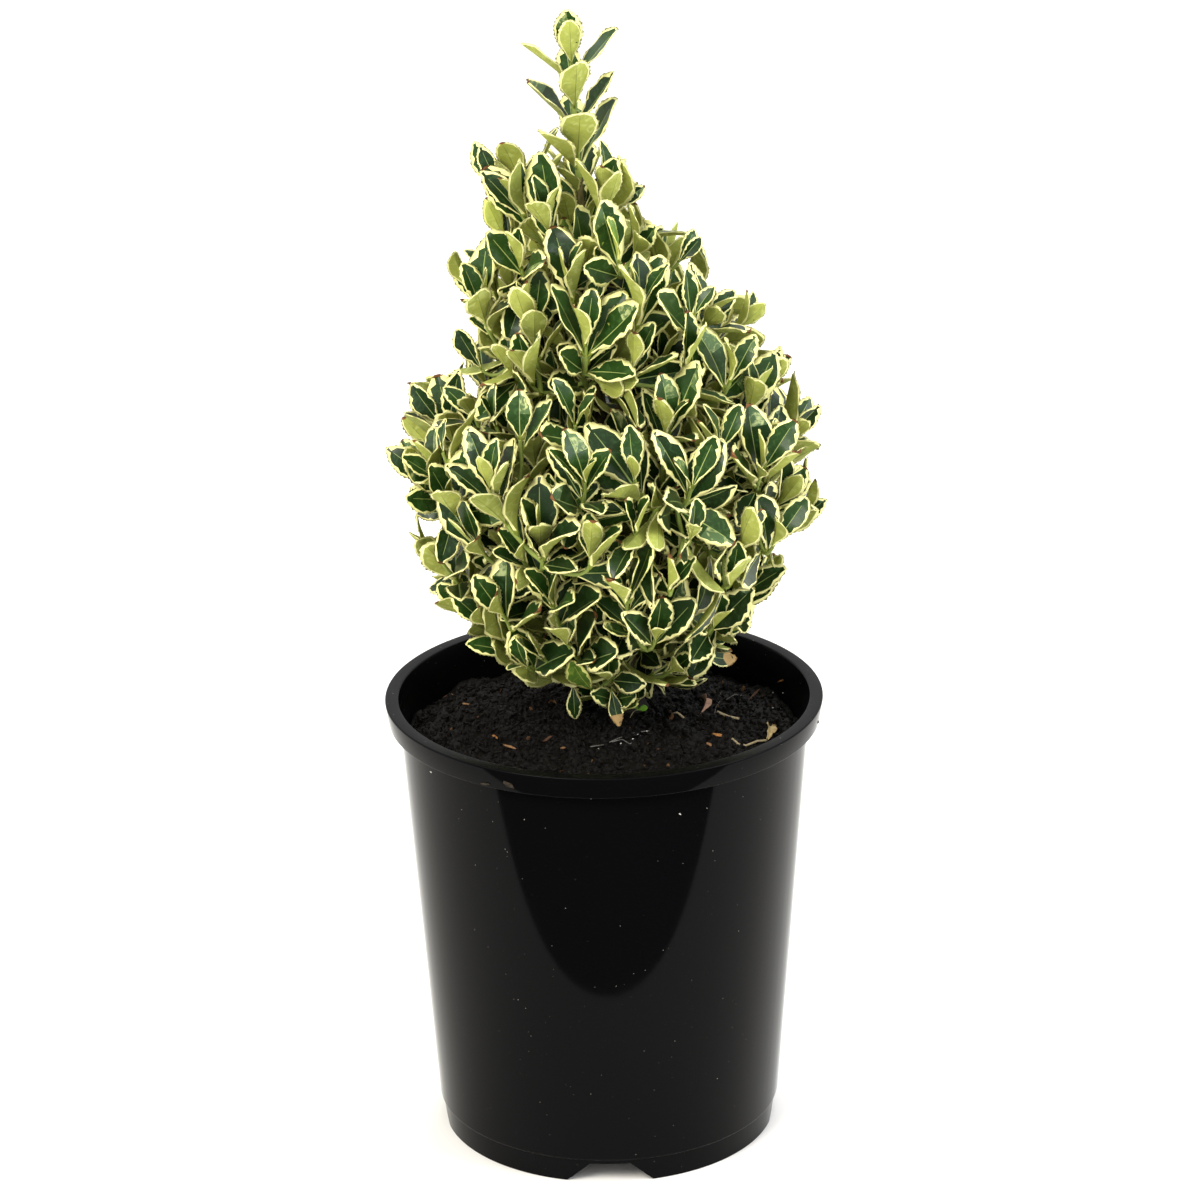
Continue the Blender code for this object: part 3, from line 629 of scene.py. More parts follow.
Mass = namedtuple("Mass", "name centre bough_from")
MASSES = (
    Mass("spire", (-0.009, 0.006, 0.502), None),
    Mass("neck_left", (-0.036, 0.002, 0.446), 0.392),
    Mass("neck_front", (0.000, -0.022, 0.442), 0.404),
    Mass("neck_back", (0.000, 0.034, 0.442), 0.404),
    Mass("upper_left", (-0.044, 0.004, 0.392), 0.330),
    Mass("upper_right", (0.044, 0.006, 0.392), 0.330),
    Mass("upper_front", (-0.002, -0.040, 0.386), 0.342),
    Mass("upper_back", (-0.002, 0.052, 0.386), 0.342),
    Mass("mid_left", (-0.068, -0.004, 0.326), 0.244),
    Mass("mid_right", (0.066, 0.004, 0.328), 0.244),
    Mass("mid_front_left", (-0.030, -0.052, 0.326), 0.256),
    Mass("mid_front_right", (0.030, -0.052, 0.328), 0.268),
    Mass("mid_back_left", (-0.030, 0.062, 0.326), 0.268),
    Mass("mid_back_right", (0.030, 0.064, 0.328), 0.256),
    Mass("low_left", (-0.050, 0.002, 0.256), 0.214),
    Mass("low_right", (0.052, 0.008, 0.256), 0.214),
    Mass("low_front", (0.002, -0.042, 0.254), 0.224),
    Mass("low_back", (0.004, 0.058, 0.254), 0.224),
)


def shoot_heading(height, out):
    """Direction in which a shoot ends: out from the leader, and up."""
    climb = CLIMB_FOOT + crown_share(height) * (CLIMB_TOP - CLIMB_FOOT)
    return (out + UP * climb).normalized()


def scatter_shoots(spacings, leaf_length, tries, dice):
    """Tips and directions of shoots, spread evenly so that their leaves end in the skin."""
    skin = np.zeros((0, 3))
    shoots = []
    for _ in range(tries):
        height = dice.uniform(CROWN_TIERS[0][0], SPIRE_FOOT)
        azimuth = dice.uniform(-math.pi, math.pi)
        spot, out = skin_point(height, azimuth)
        spacing = spacings[0] + crown_share(height) ** 2 * (spacings[1] - spacings[0])
        if len(skin) and np.sqrt(((skin - np.array(spot)) ** 2).sum(1)).min() < spacing:
            continue
        heading = shoot_heading(height, out)
        tip = spot - heading * leaf_length * LEAF_REACH
        if (tip - trunk_point(tip.z)).dot(out) < 5 * MM:
            continue
        if tip.z < MIX_CROWN_HEIGHT + 6 * MM:
            continue
        skin = np.vstack([skin, np.array(spot)])
        shoots.append((tip, heading))
    return shoots


def nearest_mass(point):
    """The mass whose middle is nearest, other than the spire."""
    return min(MASSES[1:], key=lambda mass: (point - Vector(mass.centre)).length)


def by_mass(shoots):
    """Shoots sorted by the mass that they belong to."""
    sorted_shoots = {mass.name: [] for mass in MASSES}
    for tip, heading in shoots:
        sorted_shoots[nearest_mass(tip).name].append((tip, heading))
    return sorted_shoots


def limb_route(mass, shoots):
    """Start, bend and end of a bough's curve, from the leader to the heart of its mass."""
    start = trunk_point(mass.bough_from)
    tip = sum((tip for tip, _ in shoots), Vector()) / len(shoots)
    heading = sum((heading for _, heading in shoots), Vector()).normalized()
    heart = tip - heading * HEART_DEPTH
    return start, heart - heading * (heart - start).length * BOUGH_ARRIVAL, heart


def on_bend(route, share):
    """Point on a curve from a start to an end, pulled towards its bend."""
    start, bend, end = route
    return start * (1 - share) ** 2 + bend * 2 * share * (1 - share) + end * share**2


def stretch(route, low, high, steps):
    """Points along one stretch of a curve."""
    return [on_bend(route, low + (high - low) * k / steps) for k in range(steps + 1)]


def even_taper(first, last, count):
    return [first + (last - first) * k / (count - 1) for k in range(count)]


frame_shoots = by_mass(scatter_shoots(FRAME_SPACING, FRAME_LEAF, SHOOT_TRIES, random.Random(SEED)))
routes = {m.name: limb_route(m, frame_shoots[m.name]) for m in MASSES if m.bough_from}
for name, route in routes.items():
    low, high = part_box(f"bough_{name}")
    end = on_bend(route, BOUGH_SHARE)
    off = max(low[k] - end[k] for k in range(3)), max(end[k] - high[k] for k in range(3))
    assert max(off) < 2 * MM, f"bough {name} left the frame by {max(off)}"
print("boughs that match the frame:", len(routes))

# %% [markdown]
# ## Bark on the leader and boughs
#
# Spindle bark is thin. On a stem this young it is green-brown, with fine lengthwise ridges
# and a faint ring where each pair of leaves once stood. A tube is swept along each limb
# with many rings, and every ring's radius is pushed in and out by a noise that is stretched
# along the limb, so the ridges are real relief. The colour goes from green in the
# grooves to grey-brown on the ridges.

# %% Bark
# Painted shade darkens the stem's foot up to this height above the mix.
FOOT_SHADE_HEIGHT = 16 * MM


def green_brown_bark():
    """Thin young bark: olive green under a grey-brown skin, with darker flecks, and painted shade at the foot of the
    stem.
    """
    material = bpy.data.materials.new("green_brown_bark")
    material.use_nodes = True
    tree = material.node_tree
    shader = tree.nodes["Principled BSDF"]
    place = add_node(tree, "ShaderNodeTexCoord")
    # Cells are about 2 mm across and 8 mm along the stem.
    grain = add_node(
        tree,
        "ShaderNodeMapping",
        {"Vector": place.outputs["Object"], "Scale": (1.0, 1.0, 0.25)},
    )
    skin = add_node(
        tree,
        "ShaderNodeTexNoise",
        {"Vector": grain.outputs["Vector"], "Scale": 480.0, "Detail": 6.0, "Roughness": 0.65},
    )
    colours = add_node(tree, "ShaderNodeValToRGB", {"Fac": skin.outputs["Fac"]})
    ramp = colours.color_ramp
    ramp.elements[0].position = 0.34
    ramp.elements[0].color = linear("#3b361f")
    ramp.elements[1].position = 0.68
    ramp.elements[1].color = linear("#85775a")
    middle = ramp.elements.new(0.5)
    middle.color = linear("#615a35")
    bump = add_node(
        tree,
        "ShaderNodeBump",
        {"Height": skin.outputs["Fac"], "Distance": 0.15 * MM, "Strength": 0.6},
    )
    # Painted shade: the lowest millimetres of the stem above the mix are darkened to near black, as if in the crown's
    # shadow.
    spot = add_node(tree, "ShaderNodeSeparateXYZ", {"Vector": place.outputs["Object"]})
    foot_shade = add_node(
        tree,
        "ShaderNodeMapRange",
        {
            "Value": spot.outputs["Z"],
            "From Min": MIX_CROWN_HEIGHT + 6 * MM,
            "From Max": MIX_CROWN_HEIGHT + FOOT_SHADE_HEIGHT,
            "To Min": 0.95,
            "To Max": 0.0,
        },
    )
    shaded_foot_bark = add_node(
        tree,
        "ShaderNodeMix",
        {0: foot_shade.outputs["Result"], 6: colours.outputs["Color"], 7: linear("#120e09")},
        data_type="RGBA",
    )
    tree.links.new(shaded_foot_bark.outputs[2], shader.inputs["Base Color"])
    tree.links.new(bump.outputs["Normal"], shader.inputs["Normal"])
    shader.inputs["Roughness"].default_value = 0.75
    shader.inputs["Specular IOR Level"].default_value = 0.3
    return material


def limb_mesh(name, points, radii, sides, relief):
    """A swept tube with ridged bark. Its rings lie square to the line of points."""
    verts, faces = [], []
    side = Vector((1, 0, 0))
    for k, (point, radius) in enumerate(zip(points, radii)):
        ahead = points[min(k + 1, len(points) - 1)] - points[max(k - 1, 0)]
        along = ahead.normalized() if k else UP if name.startswith("leader") else ahead.normalized()
        side = (side - along * side.dot(along)).normalized()
        other = along.cross(side)
        for s in range(sides):
            angle = 2 * math.pi * s / sides
            out = side * math.cos(angle) + other * math.sin(angle)
            ridge = noise.noise(Vector((math.cos(angle) * 2.2, math.sin(angle) * 2.2, k * 0.11)))
            grit = noise.noise(Vector((angle * 3, k * 0.5, 7.3)))
            ring = max(0, math.cos(k * 0.42)) ** 24
            push = relief * (ridge + 0.45 * grit + 0.5 * ring)
            verts.append(point + out * max(radius + push, radius * 0.7))
    for k in range(len(points) - 1):
        for s in range(sides):
            t = (s + 1) % sides
            a, b = k * sides, (k + 1) * sides
            faces.append((a + s, a + t, b + t, b + s))
    faces.append(tuple(reversed(range(sides))))
    faces.append(tuple(range((len(points) - 1) * sides, len(points) * sides)))
    mesh = bpy.data.meshes.new(name)
    mesh.from_pydata(verts, [], faces)
    mesh.shade_smooth()
    return mesh


bark = green_brown_bark()
LEADER_RINGS = 190
LEADER_SIDES = 22
foot_height = MIX_CROWN_HEIGHT + GAP
heights = [foot_height + (TRUNK_TIP[2] - foot_height) * k / LEADER_RINGS for k in range(LEADER_RINGS + 1)]
leader_points = [trunk_point(height) for height in heights]
leader_radii = [trunk_radius(height) for height in heights]
leader = add_piece(
    "leader",
    limb_mesh("leader", leader_points, leader_radii, LEADER_SIDES, 0.28 * MM),
    "green_brown_bark",
    bark,
)
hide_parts("trunk")
for mass in MASSES:
    if mass.bough_from is None:
        continue
    points = stretch(routes[mass.name], 0, BOUGH_SHARE + 0.01, 34)
    radii = even_taper(trunk_radius(mass.bough_from) * BOUGH_BASE, STEM_RADIUS, len(points))
    bough = add_piece(
        f"bark_{mass.name}",
        limb_mesh(f"bark_{mass.name}", points, radii, 14, 0.14 * MM),
        "green_brown_bark",
        bark,
    )
    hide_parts(f"bough_{mass.name}")
print("limbs with bark:", len(routes) + 1)

# %% [markdown]
# ## Leaf tissues
#
# A variegated leaf has several tissues, each with its own colour: the dark blade with
# grey-green flecks where the pale layer lies over the green one, the cream margin that has
# no green at all, and the pale midrib. The underside is lighter and duller, because its
# cells are loosely packed, and its midrib is a darker line. Every tissue is a material of
# its own, in three ages, and each face of a leaf takes one of them.
#
# A thick cuticle of wax makes the upper side shine, so its roughness is low. The underside
# has almost no wax. Where frost or drought has caught a tip, it dries to a red-brown.

# %% Leaf materials
TISSUES = ("blade", "frosted", "margin", "midrib", "under", "under_edge", "under_rib", "petiole")
AGES = ("old", "grown", "young")
TISSUE_COLOURS = {
    # tissue: old, grown, young
    "blade": ("#1a3012", "#244016", "#5c7f2e"),
    "frosted": ("#475f3f", "#526b40", "#86a14a"),
    "margin": ("#f8f2a8", "#faf6a6", "#f2f28c"),
    "midrib": ("#8c9c5c", "#9dac62", "#c6d66c"),
    "under": ("#8d9548", "#9fa64f", "#b8c25e"),
    "under_edge": ("#ebe9a0", "#f4f2aa", "#eef08c"),
    "under_rib": ("#6d7638", "#7c8440", "#93a145"),
    "petiole": ("#87943c", "#929f40", "#a3b348"),
}
FLECK_COLOURS = {
    # tissue: old, grown, young
    "blade": ("#2c4624", "#375428", "#8aa446"),
    "frosted": ("#a9b47c", "#b7c080", "#cfd884"),
    "under": ("#a3aa64", "#b4bb6c", "#ccd67a"),
}
TISSUE_SHEEN = {
    "blade": 0.32,
    "frosted": 0.3,
    "margin": 0.2,
    "midrib": 0.25,
    "under": 0.12,
    "under_edge": 0.12,
    "under_rib": 0.12,
    "petiole": 0.25,
}
TISSUE_GLOSS = {
    "blade": 0.30,
    "frosted": 0.34,
    "margin": 0.45,
    "midrib": 0.40,
    "under": 0.65,
    "under_edge": 0.60,
    "under_rib": 0.60,
    "petiole": 0.50,
}


def leaf_tissue(name, colour, roughness, sheen=0.15, fleck=None):
    """Waxy leaf tissue: a slight mottle of cells, flecks if it has any, and a fine grain."""
    material = bpy.data.materials.new(name)
    material.use_nodes = True
    tree = material.node_tree
    shader = tree.nodes["Principled BSDF"]
    place = add_node(tree, "ShaderNodeTexCoord")
    # The mottle is about 4 mm across, the flecks 3 mm, and the surface grain 0.6 mm.
    mottle = add_node(
        tree,
        "ShaderNodeTexNoise",
        {"Vector": place.outputs["Object"], "Scale": 240.0, "Detail": 3.0},
    )
    shade = add_node(
        tree,
        "ShaderNodeMapRange",
        {"Value": mottle.outputs["Fac"], "From Min": 0.3, "From Max": 0.7, "To Min": 0.86, "To Max": 1.1},
    )
    tint = add_node(
        tree,
        "ShaderNodeMix",
        {0: 1.0, 6: linear(colour), 7: shade.outputs["Result"]},
        data_type="RGBA",
        blend_type="MULTIPLY",
    )
    finished_tint = tint.outputs[2]
    if fleck:
        patches = add_node(
            tree,
            "ShaderNodeTexNoise",
            {"Vector": place.outputs["Object"], "Scale": 270.0, "Detail": 4.0, "Distortion": 1.2},
        )
        patch = add_node(
            tree,
            "ShaderNodeMapRange",
            {"Value": patches.outputs["Fac"], "From Min": 0.52, "From Max": 0.68},
        )
        flecked = add_node(
            tree,
            "ShaderNodeMix",
            {0: patch.outputs["Result"], 6: finished_tint, 7: linear(fleck)},
            data_type="RGBA",
        )
        finished_tint = flecked.outputs[2]
    grain = add_node(
        tree,
        "ShaderNodeTexNoise",
        {"Vector": place.outputs["Object"], "Scale": 1600.0, "Detail": 2.0},
    )
    bump = add_node(
        tree,
        "ShaderNodeBump",
        {"Height": grain.outputs["Fac"], "Distance": 0.06 * MM, "Strength": 0.5},
    )
    tree.links.new(finished_tint, shader.inputs["Base Color"])
    tree.links.new(bump.outputs["Normal"], shader.inputs["Normal"])
    shader.inputs["Roughness"].default_value = roughness
    shader.inputs["IOR"].default_value = 1.45
    shader.inputs["Specular IOR Level"].default_value = sheen
    return material


tissue_materials = [
    leaf_tissue(
        f"{age}_leaf_{tissue}",
        TISSUE_COLOURS[tissue][a],
        TISSUE_GLOSS[tissue],
        TISSUE_SHEEN[tissue],
        FLECK_COLOURS[tissue][a] if tissue in FLECK_COLOURS else None,
    )
    for a, age in enumerate(AGES)
    for tissue in TISSUES
]
tissue_materials.append(leaf_tissue("scorched_leaf_tip", "#7d5434", 0.7))
tissue_materials.append(leaf_tissue("dead_leaf", "#a98c5c", 0.8))
SCORCHED = len(tissue_materials) - 2
DEAD = len(tissue_materials) - 1
print("leaf tissues:", len(tissue_materials))

# %% [markdown]
# ## One leaf
#
# The leaves are obovate: a wedge-shaped base, widest at two thirds, and a blunt tip. They
# fold a little along the midrib, the blade curves back towards its tip, and the edge has
# small blunt teeth. A leaf is modelled as a closed lens, with an upper and a lower skin that
# meet at the edge. It has few rows, and the teeth are extra points on the outline of the
# faces at its edge, so a whole leaf takes about seventy faces.

# %% Leaf sizes
LEAF_LENGTH = 32 * MM
LEAF_WIDTH = 16.5 * MM
LEAF_THICKNESS = 0.8 * MM
TOOTH = 0.62 * MM
TOOTH_AT = ((0.28, 1.0), (0.52, -0.35), (0.80, 1.0))
OUTLINE_AT = (0, 0.07, 0.16, 0.30, 0.45, 0.58, 0.70, 0.80, 0.88, 0.95, 1)
BLUNT_WIDE = (0.10, 0.11, 0.25, 0.56, 0.85, 0.99, 0.99, 0.89, 0.70, 0.44, 0.12)
ACUTE_WIDE = (0.10, 0.12, 0.30, 0.68, 0.95, 0.98, 0.86, 0.66, 0.44, 0.22, 0.05)
FINE_ROWS = (0, 0.09, 0.23, 0.38, 0.53, 0.68, 0.83, 0.96)
COARSE_ROWS = (0, 0.25, 0.5, 0.75, 0.94)

# %% Leaf shapes


def leaf_shape(name, age, dice, rows, teeth=True, tip=None, curl=0):
    """One leaf along +X with its upper face to +Z. Each face knows its tissue."""
    slim = dice.uniform(0.84, 1.08)
    acute = dice.random()
    fold = math.radians(dice.uniform(14, 44))
    bend = math.radians(dice.uniform(-14, 34) + curl)
    twist = math.radians(dice.uniform(-18, 18))
    waves = dice.uniform(1.6, 3.0)
    wave = dice.uniform(0.2, 0.8) * MM
    phases = {side: dice.uniform(0, 6.3) for side in (-1, 1)}
    blunt = dice.uniform(-0.10, 0.10)

    def half_width(along):
        """Half the width of the leaf at a share of its length."""
        place = along + blunt * along * (1 - along)
        wide = (1 - acute) * np.interp(place, OUTLINE_AT, BLUNT_WIDE) + acute * np.interp(place, OUTLINE_AT, ACUTE_WIDE)
        return LEAF_WIDTH / 2 * slim * wide

    def skin(along, across, thick=0.0):
        """A point of the leaf. Along runs from 0 to 1, and across from -1 to 1."""
        half = half_width(along)
        x = z = 0.0
        for k in range(6):
            lean = bend * ((k + 0.5) / 6 * along) ** 1.4
            x += math.cos(lean) * along * LEAF_LENGTH / 6
            z -= math.sin(lean) * along * LEAF_LENGTH / 6
        lean = bend * along**1.4
        opening = fold * (1.15 - 0.5 * along)
        y = across * half * math.cos(opening)
        lift = abs(across) * half * math.sin(opening) * (1 - 0.3 * abs(across) ** 3)
        swell = math.sin(waves * 6.28 * along + phases[1 if across > 0 else -1])
        lift += wave * across**2 * swell * min(1, 3 * along)
        turn = twist * along
        y, lift = (
            y * math.cos(turn) - lift * math.sin(turn),
            y * math.sin(turn) + lift * math.cos(turn),
        )
        lift -= thick * LEAF_THICKNESS * (1.6 if along < 0.1 else 1) * max(0, 1 - across**2) ** 0.5
        return (x + lift * math.sin(lean), y, z + lift * math.cos(lean))

    code = AGES.index(age) * len(TISSUES)
    frosted = {side: dice.randrange(4, 30) for side in (-1, 1)}
    shape = bmesh.new()
    tissue_of = shape.faces.layers.int.new("tissue")

    def point(along, across, thick=0.0):
        return shape.verts.new(skin(along, across, thick))

    def face(corners, tissue):
        shape.faces.new(corners)[tissue_of] = code + TISSUES.index(tissue) if isinstance(tissue, str) else tissue

    end = point(1.0, 0.0)
    edge, between = {}, {}
    for side in (-1, 1):
        for k, along in enumerate(rows):
            edge[side, k] = point(along, side)
            beyond = rows[k + 1] if k + 1 < len(rows) else 1.0
            marks = TOOTH_AT if teeth and along > 0.2 else ()
            between[side, k] = []
            for share, push in marks:
                here = along + (beyond - along) * share
                out = 1 + push * TOOTH * dice.uniform(0.5, 1.3) / max(half_width(here), 2.5 * MM)
                between[side, k].append(point(here, side * out))
        edge[side, len(rows)] = end

    for upper in (True, False):
        inner, middle = {}, {}
        for k, along in enumerate(rows):
            half = half_width(along)
            rib = min(0.3, 0.34 * (1.2 - along) * MM / half)
            inner[0, k] = point(along, -rib, 0 if upper else 1)
            inner[1, k] = point(along, rib, 0 if upper else 1)
            for side in (-1, 1):
                border = dice.uniform(0.7, 1.4) + max(0, along - 0.6) * 2.6 if upper else dice.uniform(0.8, 1.6)
                share = max(0.5, 1 - border * MM / half)
                inner[2 * side, k] = point(along, side * share, 0 if upper else 1)
                if upper and teeth and along > 0.2 and k + 1 < len(rows):
                    here = (along + rows[k + 1]) / 2 + dice.uniform(-0.03, 0.03)
                    border = dice.uniform(0.4, 3.0) + max(0, here - 0.6) * 3
                    middle[side, k] = [point(here, side * (1 - border * MM / half_width(here)), 0)]
        for k in range(len(rows) - 1):
            rib_tissue = ("midrib" if rows[k] < 0.8 else "blade") if upper else "under_rib"
            rim = "margin" if upper else "under_edge"
            if k == 0:
                rib_tissue = rim = "petiole"
            dead = tip == DEAD and rows[k] > 0.6
            face((inner[0, k], inner[0, k + 1], inner[1, k + 1], inner[1, k]), tip if dead else rib_tissue)
            for side in (-1, 1):
                rib = 0 if side < 0 else 1
                dent = middle.get((side, k), [])
                flesh = ("frosted" if frosted[side] <= k else "blade") if upper else "under"
                face(
                    [inner[rib, k], inner[rib, k + 1], inner[2 * side, k + 1], *dent, inner[2 * side, k]],
                    tip if dead else flesh if k else "petiole",
                )
                face(
                    [
                        inner[2 * side, k], *dent, inner[2 * side, k + 1],
                        edge[side, k + 1], *between[side, k][::-1], edge[side, k],
                    ],
                    tip if dead else rim,
                )
        k = len(rows) - 1
        face(
            [
                edge[-1, k], *between[-1, k], end, *between[1, k][::-1], edge[1, k],
                inner[2, k], inner[1, k], inner[0, k], inner[-2, k],
            ],
            tip if tip else "margin" if upper else "under_edge",
        )
    for filled in bmesh.ops.holes_fill(shape, edges=[e for e in shape.edges if e.is_boundary])["faces"]:
        filled[tissue_of] = code + TISSUES.index("under_rib")
    bmesh.ops.recalc_face_normals(shape, faces=shape.faces)
    for made in shape.faces:
        made.smooth = True
    mesh = bpy.data.meshes.new(name)
    shape.to_mesh(mesh)
    shape.free()
    return mesh


SHAPES_PER_AGE = 14
leaf_shapes = bpy.data.collections.new("leaf_shapes")
coarse = []
for a, age in enumerate(AGES):
    for k in range(SHAPES_PER_AGE):
        number = a * SHAPES_PER_AGE + k
        tip = DEAD if k == SHAPES_PER_AGE - 1 else SCORCHED if k % 5 == 0 else None
        mesh = leaf_shape(f"leaf_{number:02d}", age, random.Random(100 + number), FINE_ROWS, True, tip)
        leaf_shapes.objects.link(bpy.data.objects.new(f"leaf_{number:02d}", mesh))
        outline = leaf_shape("coarse", age, random.Random(100 + number), COARSE_ROWS, False)
        coarse.append(
            ([Vector(v.co) for v in outline.vertices], [tuple(f.vertices) for f in outline.polygons])
        )
        bpy.data.meshes.remove(outline)
shown = leaf_shapes.objects[0].data
print("faces of a leaf:", len(shown.polygons), "triangles:", sum(len(f.vertices) - 2 for f in shown.polygons))

# %% [markdown]
# ## Growing the bush
#
# Shoots are scattered again under the crown's skin. Those that face the camera stand where
# the photograph shows a rosette of leaves, and the others fill the spaces round the crown
# at an even distance. They climb more steeply than the frame's shoots, because a spindle
# bush turns its tips to the light.
#
# A shoot starts at whichever place on its mass's stem, or on a shoot that is already there,
# lets it climb best, so the twigs fork as real ones do. Leaves stand on it in opposite
# pairs, each pair a quarter turn from the last. The youngest pair is small and nearly
# upright, and the older ones spread.
#
# Before a leaf is kept, a coarse copy of it is tested against its neighbours. If they
# cross, it swings, closes or shrinks a little and tries again, as leaves do when they grow
# into the light. The outer pairs go first, so that they are the full ones.

# %% Scatter the fine shoots
FINE_SPACING = (0.0260, 0.0195)
INNER_SPACING = 0.024
INNER_DEPTH = 27 * MM
FINE_TRIES = 26000
INNER_TRIES = 6000
NECK_DROP = 12 * MM
FINE_PAIRS = 8
STEM_PAIRS = 6
INNER_PAIRS = 5
CLIMB_AT_FOOT = 0.35
CLIMB_WITH_SHARE = 7.5
SIDE_LEAN = 0.4
SIDE_CLIMB = 1.1
SIDE_LEAF_GAP = 4 * MM
FINE_REACH = 0.66 * LEAF_LENGTH
SHOOT_FOOT_RADIUS = 1.15 * MM
SHOOT_TIP_RADIUS = 0.75 * MM
SHOOT_CLIMB_WORTH = 0.5
SHOOT_STEPS = 7
SEEN_SHOOTS = (
    # where the photograph shows the middles of rosettes
    (550, 226), (464, 269), (571, 291), (620, 262), (642, 306), (482, 312), (694, 315),
    (586, 346), (684, 367), (528, 376), (730, 383), (443, 453), (635, 480), (585, 483),
    (491, 489), (691, 489), (635, 533), (744, 544), (773, 547), (729, 585), (670, 591),
    (627, 595), (553, 606), (503, 615), (568, 644), (544, 659), (609, 679), (655, 640),
    (520, 440), (575, 425), (668, 428), (720, 452), (763, 470), (452, 505), (440, 560),
    (480, 548), (540, 540), (590, 560), (690, 540), (592, 690), (612, 700), (528, 668),
)
SIDE_SHOOTS = (
    # where the photograph shows shoots at the sides: their ends, then the tips of leaves that
    # stick out from them, each with how far it turns its upper side to the camera
    ((441, 424), (410, 386, 0.8), (459, 369, 0.9)),
    ((432, 481), (386, 447, 0.3)),
    ((455, 511), (415, 514, 0.7)),
    ((436, 556),),
    ((498, 184), (479, 147, 0.8)),
    ((470, 290),),
    ((482, 370), (456, 330, 0.8)),
    ((614, 208), (645, 186, 0.5)),
    ((678, 263), (702, 238, 0.4)),
    ((738, 328),),
    ((752, 395), (782, 350, 0.7)),
    ((785, 442), (819, 403, 0.1)),
    ((792, 522), (827, 499, 0.7)),
    ((752, 596),),
)
OPEN_PLACES = (
    # where the photograph shows sky between tufts: the middle, and the radius in millimetres
    ((433, 347), 11.5),
    ((469, 383), 4.0),
    ((432, 524), 5.0),
    ((449, 629), 8.5),
    ((464, 233), 6.5),
    ((513, 116), 10.5),
    ((632, 137), 9.0),
    ((661, 205), 8.5),
    ((732, 269), 9.0),
    ((788, 329), 6.5),
    ((798, 583), 8.5),
)


def fine_heading(height, out):
    """Direction in which a leafy shoot ends: steeper than the frame's rule."""
    climb = CLIMB_AT_FOOT + CLIMB_WITH_SHARE * crown_share(height)
    return (out + UP * climb * (1 - SIDE_LEAN * abs(out.x))).normalized()


def skin_seen_at(across, down):
    """Where a pixel's ray enters the crown, or None where it misses."""
    for step in range(400):
        spot = seen_at(across, down, 0.60 - 0.001 * step)
        if not CROWN_TIERS[0][0] < spot.z < CROWN_TIERS[-1][0]:
            continue
        axis = crown_section(spot.z)[0]
        away = Vector((spot.x - axis.x, spot.y - axis.y, 0))
        if away.length < crown_radius(spot.z, math.atan2(away.y, away.x)):
            return spot, away.normalized()
    return None


def beside_at(across, down):
    """Where a pixel's ray crosses the upright plane through the leader."""
    ray = seen_at(across, down, 0) - CAMERA_PLACE
    return CAMERA_PLACE + ray * (TRUNK_TIP[1] - CAMERA_PLACE.y) / ray.y


sky = []
for pixel, radius in OPEN_PLACES:
    middle = beside_at(*pixel)
    sky.append((middle.x, middle.z, (radius * MM) ** 2))


def against_sky(point):
    """True where a point would show in one of the open places between the tufts."""
    ray = point - CAMERA_PLACE
    seen = CAMERA_PLACE + ray * (TRUNK_TIP[1] - CAMERA_PLACE.y) / ray.y
    return any((seen.x - x) ** 2 + (seen.z - z) ** 2 < square for x, z, square in sky)


def fine_tip(spot, out):
    """Tip and direction of the shoot whose leaves end at a spot in the skin."""
    heading = fine_heading(spot.z, out)
    return spot - (heading * 0.55 + out * 0.45) * FINE_REACH, heading


fine_shoots, skin = [], []
for pixel in SEEN_SHOOTS:
    found = skin_seen_at(*pixel)
    if not found:
        print("no crown at pixel", pixel)
        continue
    spot, out = found
    heading = fine_heading(spot.z, out)
    ray = (spot - CAMERA_PLACE).normalized()
    tip = spot + ray * FINE_REACH * 0.6
    tip.z = max(tip.z, MIX_CROWN_HEIGHT + 9 * MM)
    fine_shoots.append((tip, heading))
    skin.append(tip + (heading * 0.55 + out * 0.45) * FINE_REACH)
side_leaves = []
for pixel, *leaf_tips in SIDE_SHOOTS:
    tip = beside_at(*pixel)
    out = Vector((math.copysign(1, tip.x - trunk_point(tip.z).x), 0, 0))
    heading = (out + UP * SIDE_CLIMB).normalized()
    fine_shoots.append((tip, heading))
    skin.append(tip + (heading * 0.55 + out * 0.45) * FINE_REACH)
    for k, (*end, turned) in enumerate(leaf_tips):
        side_leaves.append((tip - heading * k * SIDE_LEAF_GAP, heading, beside_at(*end), turned))
SEEN_COUNT = len(fine_shoots)
print("shoots that the photograph shows:", SEEN_COUNT)
dice = random.Random(SEED + 1)
for _ in range(FINE_TRIES):
    height = dice.uniform(CROWN_TIERS[0][0], SPIRE_FOOT - NECK_DROP)
    spot, out = skin_point(height, dice.uniform(-math.pi, math.pi))
    spacing = FINE_SPACING[0] + crown_share(height) ** 2 * (FINE_SPACING[1] - FINE_SPACING[0])
    if min((spot - other).length for other in skin) < spacing:
        continue
    tip, heading = fine_tip(spot, out)
    if (tip - trunk_point(tip.z)).dot(out) < 4 * MM or tip.z < MIX_CROWN_HEIGHT + 7 * MM:
        continue
    if against_sky(tip):
        continue
    skin.append(spot)
    fine_shoots.append((tip, heading))
inner_shoots, inner_skin = [], []
for _ in range(INNER_TRIES):
    height = dice.uniform(CROWN_TIERS[0][0], SPIRE_FOOT - 0.02)
    spot, out = skin_point(height, dice.uniform(-math.pi, math.pi))
    spot -= out * INNER_DEPTH
    if inner_skin and min((spot - other).length for other in inner_skin) < INNER_SPACING:
        continue
    tip, heading = fine_tip(spot, out)
    if (tip - trunk_point(tip.z)).dot(out) < 5 * MM or tip.z < MIX_CROWN_HEIGHT + 12 * MM:
        continue
    inner_skin.append(spot)
    inner_shoots.append((tip, heading))
seen_tips = {tuple(tip) for tip, _ in fine_shoots[:SEEN_COUNT]}
print("shoots in the skin:", len(fine_shoots), "inside:", len(inner_shoots))

